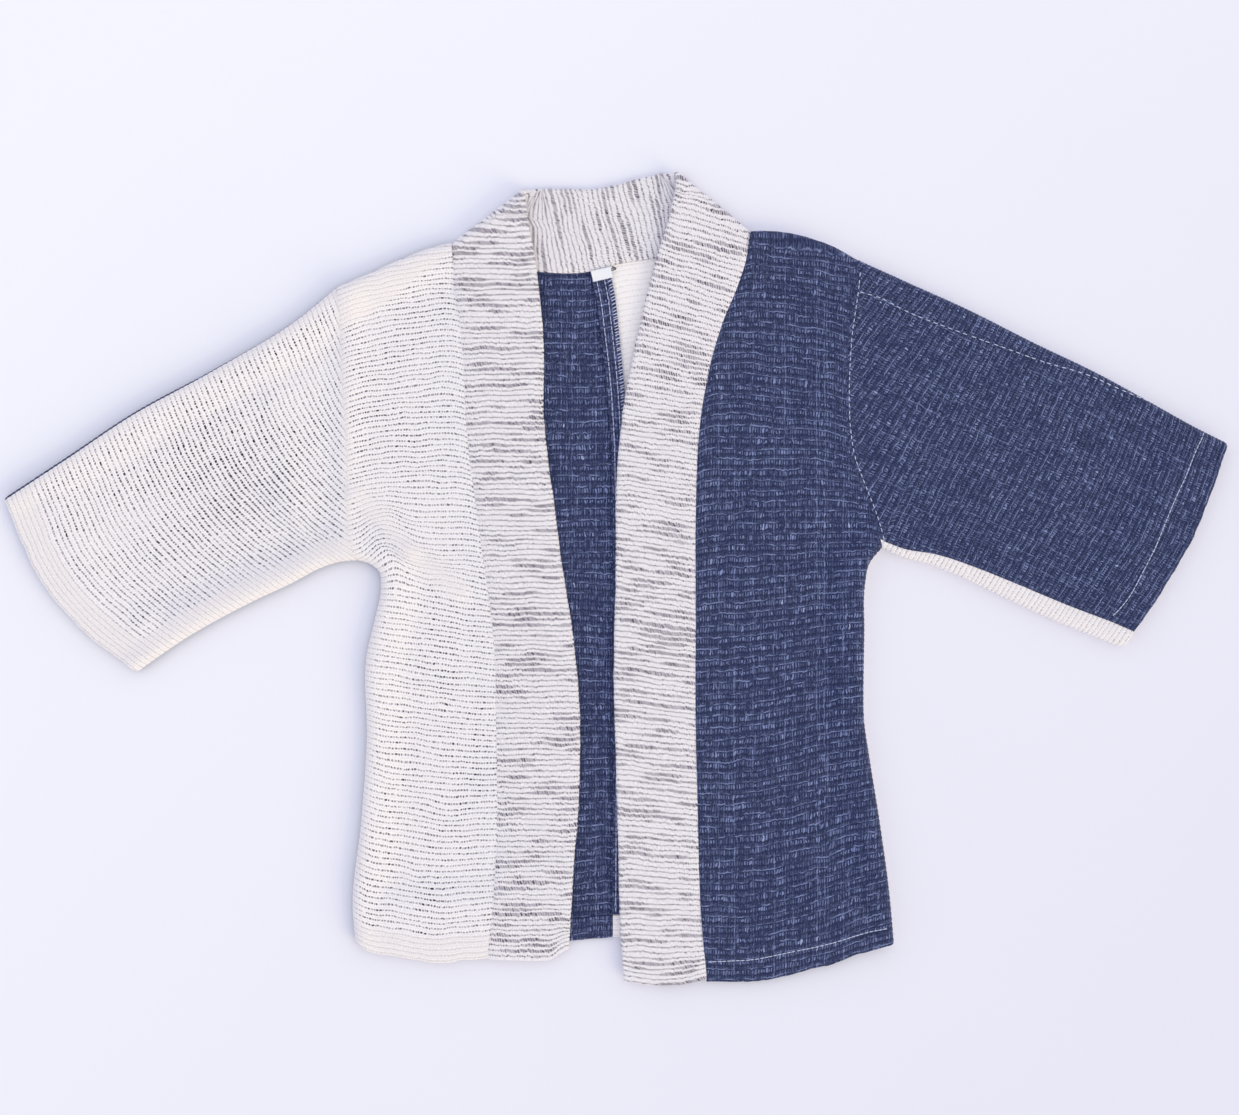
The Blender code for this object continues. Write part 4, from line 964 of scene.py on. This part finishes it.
CUFF_STITCHES = ((374.8, 92.7), (368.6, 78), (363.8, 65.7), (357.6, 52.3), (350.1, 34.2), (344.1, 19.5),
                 (336.6, 4.7), (327, -12.5), (320.9, -20), (314.8, -26))
OVERARM_STITCHES = ((155.3, 183.3), (167.2, 180.1), (186.2, 170.6), (216.4, 158.7), (245.1, 148.3),
                    (273.6, 138), (302.1, 129.3), (324.5, 119), (343.5, 111))
LOOSE_AT = (-245.0, 60.0)  # the weave is looser about here, in the middle of the right sleeve
LOOSE_REACH = 45.0
BESIDE_ARMHOLE = 2.2
SLEEVE_FRONTS = {"right": (cream, "cream_cotton", (0.236, 0.180), 3.5),
                 "left": (navy, "navy_cotton", (0.262, 0.185), 2.4)}
for side, (cloth, slot, flat, pitch) in SLEEVE_FRONTS.items():
    plan_of, row, cords, under_wrap, over_wrap = sleeve_frame(side, pitch)
    under_edge = under_wrap + SEAM_GAP * (under_wrap > 0)
    over_edge = over_wrap + SEAM_GAP * (over_wrap > 0)
    reach, place = across_sleeve(row, SLEEVE_COLUMN["front"])
    place = under_edge + place * np.clip(row - under_edge - over_edge, 0.01, None) / row
    plan = plan_of(place)
    middle, normal = lay_top(plan, side)
    to_cuff = cords[-1] - cords
    zones = (("overarm", 4), ("underarm", 13), ("armhole", 0))
    backing = closed(plan, side, zones, to_cuff * pitch, CLOSED_HEM["sleeve"])
    loose = np.exp(-((np.linalg.norm(plan - LOOSE_AT, axis=-1) / LOOSE_REACH) ** 2))
    backing = (backing - loose * (backing < 0.5))[::-1]
    middle, normal = middle[::-1], normal[::-1]
    weave = np.stack([reach - row, to_cuff + 0 * reach], axis=-1)[::-1]
    middle, normal, weave, backing = turn_up(middle, normal, weave, backing, SLEEVE_HEM, pitch)
    front = add_shell(f"cloth_sleeve_{side}_front", cloth, middle, normal, corded(weave), weave, backing)
    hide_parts(f"sleeve_{side}_front")
    on_it = []
    if side == "left":
        cuff, over = smooth(CUFF_STITCHES, 1.0), smooth(OVERARM_STITCHES, 1.0)
        beside = shifted(LINES["left"]["armhole"], -BESIDE_ARMHOLE)[2:-2]
        on_it = [
            sew_on_top("cuff_stitches", cuff, pitch=3.0, share=0.92, seed=32),
            sew_on_top("overarm_topstitch", over, pitch=5.1, share=0.6, seed=33),
            sew_on_top("armhole_topstitch", beside, pitch=4.2, share=0.62, seed=34),
        ]

# Neckband.
# One strip of slubbed, striped cream cotton, folded double along its free edge, with its cords across it.
# It runs up the right front, over the shoulders and round the back of the neck, and down the left front.

BAND = 3.4
BAND_CORD = 3.4
BAND_RIB = 0.24  # how far the cords stand out
BAND_LOW = BAND / 2 + 0.05
NECK_FREE = ((-58.5, 249.5), (-29, 249.5), (-14.5, 249.5), (-1.5, 252), (13, 255.5), (29, 259.5),
             (39, 260.5))
# Heights of the middle of the band, as (distance from the shoulder fold, at the seam, at the free edge)
BAND_LIE = {
    "right": ((0, 6.95, 8.95), (30, 5.9, 7.3), (55, 4.9, 5.9), (90, 3.9, 4.3), (130, 3.6, 3.6),
              (380, 3.6, 3.6), (420, 5.4, 5.4), (520, 5.3, 5.3)),
    "left": ((0, 6.95, 8.95), (30, 5.9, 7.4), (55, 5.1, 6.3), (90, 4.5, 5.6), (130, 4.3, 5.4),
             (380, 4.3, 5.4), (420, 5.4, 5.5), (540, 5.3, 5.3)),
}
# How far its cords' ends at the seam lie below those at the free edge, as (share of the way up, drop)
BAND_DROP = {"right": ((0, -2), (0.1, 0), (0.6, 0), (0.84, 1), (0.92, 14), (1, 34)),
             "left": ((0, -1.5), (0.2, 5), (0.5, 8), (0.72, 6.5), (0.84, 10), (0.93, 22), (1, 37))}
BAND_SLANT = {"right": 0.0, "left": -0.29}  # of its cords just before the shoulder folds, rise over run
BAND_STOP = (5.2, 6.1)  # its front stretches end this far before the shoulder fold, at the seam and free edge
BAND_TURNS = (25, 40, 55, 72, 90, 108, 125, 140, 155)  # degrees round the shoulder fold
BAND_CLEAR = 0.1  # between its free edge and the outline
FOLD_CLEAR = 0.6  # between its seam edge and the neck, past the shoulder fold
# Where its cords behind the neck stand: between the middle two shares they are even and lean a little, and
# beyond them they fan out. The first and last inset is that from the folds' ends.
NECK_SHARES = (0, 0.3, 0.74, 1)
NECK_SEAM_AT = (7, 74, 151)
NECK_FREE_AT = (11.0, 12.5, 86.5)
BAND_HEM_EASE = 30  # over which its ends take their form
SLANT_FROM = 120  # how far up its cords begin to slant, and over how much they do
SLANT_GROWTH = 60
COUNT_BEYOND = 60  # how far past the shoulder fold the front's cords are counted on
BEHIND_EASE = 45  # over which that ends behind the neck
BAND_WAVES = ((0.8, 14, 24), (0.35, 6, 25))  # of its cords
EDGE_WAVE = (0.25, 7, 26)  # of its free edge
NECK_FREE_LINE = smooth(NECK_FREE)


def band_front(side):
    """A front stretch from its hem to near the shoulder fold, as its seam edge and its free edge in 3D, and
    the fold's ends at those edges seen from above."""
    seam = shifted(LINES[side]["band_seam"], HAND[side] * SEAM_GAP)
    free = shifted(LINES[side]["band_free"], -HAND[side] * BAND_CLEAR)
    stops = along(seam)[-1] - BAND_STOP[0], along(free)[-1] - BAND_STOP[1]
    share = np.linspace(0, 1, 60)
    on_free = at(free, share * stops[1])
    drop = np.interp(share, *zip(*BAND_DROP[side]))
    level = np.interp(on_free[:, 1] - drop, seam[:, 1], along(seam))
    ending = ease((share - 0.95) / 0.05)
    on_seam = at(seam, np.where(share > 0, level * (1 - ending) + stops[0] * ending, 0))
    apart, *heights = zip(*BAND_LIE[side])
    edges = [np.column_stack([line, np.interp((1 - share) * stops[0], apart, lie)])
             for line, lie in zip((on_seam, on_free), heights)]
    return edges, (seam[-1], free[-1])


def shoulder_fold(side, front, ends, back):
    """The band's turn over the shoulder as its seam edge and its free edge: half circles from the front
    stretch down to the surface, slid along the fold so that each edge keeps its way."""
    fold = unit(ends[1] - ends[0])
    out = np.array((fold[1], -fold[0])) * HAND[side]
    heights = (EDGE_MID - BAND_LOW, (front[1][-1, 2] - BAND_LOW) / 2)
    edges = []
    for edge, end, under, height, clear in zip(front, ends, back, heights, (FOLD_CLEAR, 0)):
        turn = np.radians(BAND_TURNS)[:, None]
        turned = turn > np.pi / 2
        way = np.where(turned, unit(under - end), unit(edge[-1, :2] - end))
        sink = 1 - np.sin(turn)
        slide = (way @ fold / -(way @ out))[:, None] * (BAND / 2 + height) * sink + clear * turned
        plan = end - out * (BAND / 2 + height * sink) + fold * slide
        edges.append(np.hstack([plan, BAND_LOW + height * (1 + np.cos(turn))]))
    return edges


low = shifted(NECK_SEAM_LINE, SEAM_GAP), shifted(NECK_FREE_LINE, -BAND_CLEAR)
halves = {}
for side in HAND:
    front, ends = band_front(side)
    past_fold = [(line if side == "right" else line[::-1])[3] for line in low]
    halves[side] = [np.concatenate(pair) for pair in zip(front, shoulder_fold(side, front, ends, past_fold))]
share = np.linspace(0, 1, 15)
places = [np.interp(share, NECK_SHARES, (*stands, along(line)[-1] - stands[0]))
          for stands, line in zip((NECK_SEAM_AT, NECK_FREE_AT), low)]
stations = np.hstack([
    np.concatenate([right, np.column_stack([at(line, place), np.full(len(place), BAND_LOW)]), left[::-1]])
    for right, line, place, left in zip(halves["right"], low, places, halves["left"])
])
fine = smooth(stations, 1.0)
along_middle = along((fine[:, :3] + fine[:, 3:]) / 2)
to_row, cords = cord_rows(along_middle[-1], seed=17, pitch=BAND_CORD)
fine = at(fine, to_row, along_middle)
seam, free = fine[:, :3], fine[:, 3:]
width = np.linalg.norm(free - seam, axis=1)[:, None]
# Places across it, in millimetres from its seam and from its free edge
from_seam = np.array((0, 1.0, 2.4, *range(5, 29, 2)))
from_free = np.array((*range(21, 4, -2), 3, 1.5, 0.7, 0.2, 0))
across = np.concatenate([from_seam / width, 1 - from_free / width], axis=1)
middle = seam[:, None] + (free - seam)[:, None] * across[..., None]
on_band = np.stack([to_row[:, None] + 0 * across, across * width], axis=-1)
# Before the shoulder folds the cords slant, so that their count at a point is that of the row which it meets,
# and behind the neck that dies away again
count = cords[:, None] + 0 * across
half_way = len(cords) // 2
for side, slant in BAND_SLANT.items():
    level = middle[..., 1] - slant * middle[..., 0]
    centre = level.mean(axis=1)
    if side == "right":
        fold_row = centre[:half_way].argmax()
        front, behind, sign = slice(0, fold_row + 1), slice(fold_row + 1, half_way), 1
    else:
        fold_row = half_way + centre[half_way:].argmax()
        front, behind, sign = slice(None, fold_row - 1, -1), slice(half_way, fold_row), -1
    beyond = np.append(centre[front], centre[fold_row] + COUNT_BEYOND)
    counted = np.append(cords[front], cords[fold_row] + sign * COUNT_BEYOND / BAND_CORD)
    run_on = np.interp(level, beyond, counted) - cords[:, None]
    share = ease((middle[..., 1].mean(axis=1) - SLANT_FROM) / SLANT_GROWTH)[:, None]
    count[front] += (run_on * share)[front]
    fade = 1 - ease(np.abs(to_row - to_row[fold_row]) / BEHIND_EASE)[:, None]
    count[behind] += (run_on[fold_row] * fade)[behind]
jog = wander(on_band, *BAND_WAVES) * ease(across * 5) * ease((1 - across) * 8)
middle += jog[..., None] * unit(np.gradient(middle, axis=0))
at_hem = [1 - ease(far / BAND_HEM_EASE)[:, None] for far in (to_row, to_row[-1] - to_row)]
# The right end's free corner is drawn up by 8 mm, and the left end is cut in a shallow arc
middle[..., 1] += 8 * ease((across - 0.72) / 0.28) * at_hem[0] + (4 * (2 * across - 1) ** 2 - 1) * at_hem[1]
# Its free edge swells with the cords
rib = np.sqrt(np.abs(np.sin(np.pi * count)))
bulge = 0.35 * (rib - 0.6) + wander(on_band, EDGE_WAVE)
middle += (bulge * ease((across - 0.9) * 10))[..., None] * unit(free - seam)[:, None]
normal = unit(np.cross(np.gradient(middle, axis=1), np.gradient(middle, axis=0)))
normal[-1] = normal[-2]
# Its thickness: round at the free edge, and pressed flatter beside the seam
full = BAND / 2 - BAND_RIB * (1 - rib)
inside = across * width
rounded = np.sqrt(1 - (1 - np.clip((width - inside) / (BAND / 2), 0.02, 1)) ** 2)
half = full * rounded * (0.62 + 0.38 * ease(inside / 2.4))
weave = np.stack([inside, count], axis=-1)

# Slubbed striped cotton: cream cords with rows of small dots between them, where thick grey-violet slubs
# swell out and fade away again. The slubs are 20 to 60 mm long and hatched by the weft that crosses them.
HATCH_PITCH = 1.6
striped, tree, shader, woven, u, v = cotton("handwoven_striped_slub_cotton", 0.92, 0.1)
# The furrow nearest to a place, and the slub that swells in it: long noise of its own in each furrow
tremble = add(tree, "TexNoise", woven, 0.45, 2.0, noise_dimensions="2D")
high = add(tree, "MULTIPLY_ADD", tremble, 0.5, v)
row, _, off = to_nearest(tree, high)
slow = add(tree, "MULTIPLY", u, 0.028)
apart = add(tree, "MULTIPLY", row, 3.7)
swell = add(tree, "TexNoise", add(tree, "CombineXYZ", slow, apart), 1.0, 2.0, noise_dimensions="2D")
swell = add(tree, "MapRange", swell, 0.47, 0.64, interpolation_type="SMOOTHSTEP")
edge = add(tree, "DIVIDE", off, add(tree, "MapRange", swell, 0.0, 1.0, 0.14, 0.34))
furrow = add(tree, "MapRange", edge, 1.2, 0.75, interpolation_type="SMOOTHSTEP")
# The hatching across it, which leans from cord to cord
lean = add(tree, "MULTIPLY", v, 1.1)
shift = add(tree, "TexWhiteNoise", row, noise_dimensions="1D")
step = add(tree, "MULTIPLY_ADD", u, 1 / HATCH_PITCH, lean)
step = add(tree, "MULTIPLY_ADD", tremble, 1.5, step)
step = add(tree, "ADD", step, shift)
_, hatch, chance = side_by_side(tree, step, row, 0.38, 0.2)
chance = add(tree, "MapRange", chance, 0.0, 1.0, 0.35, 1.0)
hatch = add(tree, "MULTIPLY", hatch, chance)
base = add(tree, "MapRange", swell, 0.0, 1.0, 0.14, 0.42)
base = add(tree, "MULTIPLY", furrow, base)
dark = add(tree, "MULTIPLY", furrow, hatch)
dark = add(tree, "MULTIPLY", dark, add(tree, "MapRange", swell, 0.0, 1.0, 0.95, 1.0))
grain, face = fibrous(tree, woven, 1.9, "#DED7DF", "#FAF6FB")
for amount, over in ((base, "#A297AC"), (dark, "#3F3548")):
    face = add(tree, "Mix", amount, face, colour(over), data_type="RGBA")
dress(shader, face, add(tree, "SUBTRACT", grain, dark), 0.5, 0.00025)

band = add_shell("cloth_neckband", striped, middle, normal, half, weave, 0.0)
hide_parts("neckband")

# Size label and thread knot.
# A woven white tape, folded into the neck seam at the centre back and left bare, and beside it the knotted
# end of the dark sewing thread.

LABEL = 0.4
LABEL_SIZE = (13.0, 7.0)
LABEL_AT = (-9.0, 194.6)
LABEL_TURN = 13.0  # degrees
LABEL_MID = 2 * CLOTH + 0.8
WEFT_PITCH = 0.6
# Woven polyester tape: smooth and a little glossy, with the fine ribs of its weft across it.
tape, tree, shader = new_material("woven_white_polyester_tape", {"Roughness": 0.45})
woven = add(tree, "UVMap", uv_map="weave")
weft = add(tree, "MULTIPLY", add(tree, "SeparateXYZ", woven, out=1), 2 * np.pi / WEFT_PITCH)
weft = add(tree, "SINE", weft)
grain = add(tree, "TexNoise", woven, 2.0, noise_dimensions="2D")
face = add(tree, "Mix", grain, colour("#E4E6F0"), colour("#FAFAFE"), data_type="RGBA")
dress(shader, face, weft, 0.3, 0.0001)
x, y = np.meshgrid(*(np.linspace(-0.5, 0.5, k) * long for k, long in zip((14, 8), LABEL_SIZE)), indexing="ij")
turn = np.radians(LABEL_TURN)
lift = LABEL_MID + 0.25 * np.sin(x / LABEL_SIZE[0] * np.pi) ** 2 + 0.1 * np.sin(y * 0.9)
middle = np.stack([LABEL_AT[0] + x * np.cos(turn) - y * np.sin(turn),
                   LABEL_AT[1] + x * np.sin(turn) + y * np.cos(turn), lift], axis=-1)
normal = np.broadcast_to((0.0, 0.0, 1.0), middle.shape)
label = add_shell("bare_size_label", tape, middle, normal, LABEL / 2, np.stack([x, y], axis=-1), 0.0)
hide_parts("size_label")

dark_thread = thread_material("dark_sewing_thread", "#4A4860", "#232238")
turn = np.linspace(0, 1, 15)
knot_line = np.stack([-2.6 + 1.5 * np.sin(9 * turn) + 1.2 * turn, 198.4 + 1.1 * np.cos(8 * turn) - turn,
                      4.3 + 0.5 * np.sin(9 * turn)], axis=1)
knot = sewn("neck_thread_knot", dark_thread, knot_line[:-1], knot_line[1:], radius=0.4)

# Floor, light and camera.
# A pale lavender paper floor, soft daylight from the lower right with a cool fill from above, and a camera
# that looks straight down.

FLOOR = 4000.0  # half its width
FLOOR_DROP = 0.6
# Matt paper: it hardly shines, and is painted darker from the upper left towards the lower right, as painted
# shade where the light falls off.
paper, tree, shader = new_material("matt_lavender_paper_painted_falloff", {"Roughness": 0.9, "Specular IOR Level": 0.1})
spot = add(tree, "TexCoord", out=3)
away = add(tree, "SUBTRACT", *(add(tree, "SeparateXYZ", spot, out=k) for k in (0, 1)))
away = add(tree, "MULTIPLY_ADD", add(tree, "TexNoise", spot, 3.0, 2.0), 0.3, away)
away = add(tree, "MapRange", away, -0.5, 0.8)
face = add(tree, "Mix", away, colour("#F4F4FF"), colour("#E8E6F4"), data_type="RGBA")
tree.links.new(face, shader.inputs["Base Color"])
corners = np.array([(x * FLOOR, y * FLOOR, -FLOOR_DROP) for x, y in ((-1, -1), (1, -1), (1, 1), (-1, 1))])
new_object("pale_floor", paper, corners, np.array([(0, 1, 2, 3)]))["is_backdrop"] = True

world = bpy.data.worlds.new("cool_fill")
world.use_nodes = True
sky = world.node_tree.nodes["Background"]
sky.inputs["Color"].default_value = (0.875, 0.9, 0.968, 1.0)
sky.inputs["Strength"].default_value = 1.0
bpy.context.scene.world = world

sun = bpy.data.lights.new("low_window_light", "SUN")
sun.energy = 1.0
sun.angle = np.radians(34)
sun.color = (1.0, 0.845, 0.37)
lamp = bpy.data.objects.new("low_window_light", sun)
lamp.rotation_euler = (np.radians(65), 0, np.radians(52))
bpy.context.collection.objects.link(lamp)

camera_data = bpy.data.cameras.new("camera_above")
camera_data.lens = 70
camera_data.sensor_width = 36
camera = bpy.data.objects.new("camera_above", camera_data)
camera.location = (0.00224, 0.0134, 1.545)
bpy.context.collection.objects.link(camera)
bpy.context.scene.camera = camera
bpy.context.scene.view_settings.view_transform = "Standard"

low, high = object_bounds()
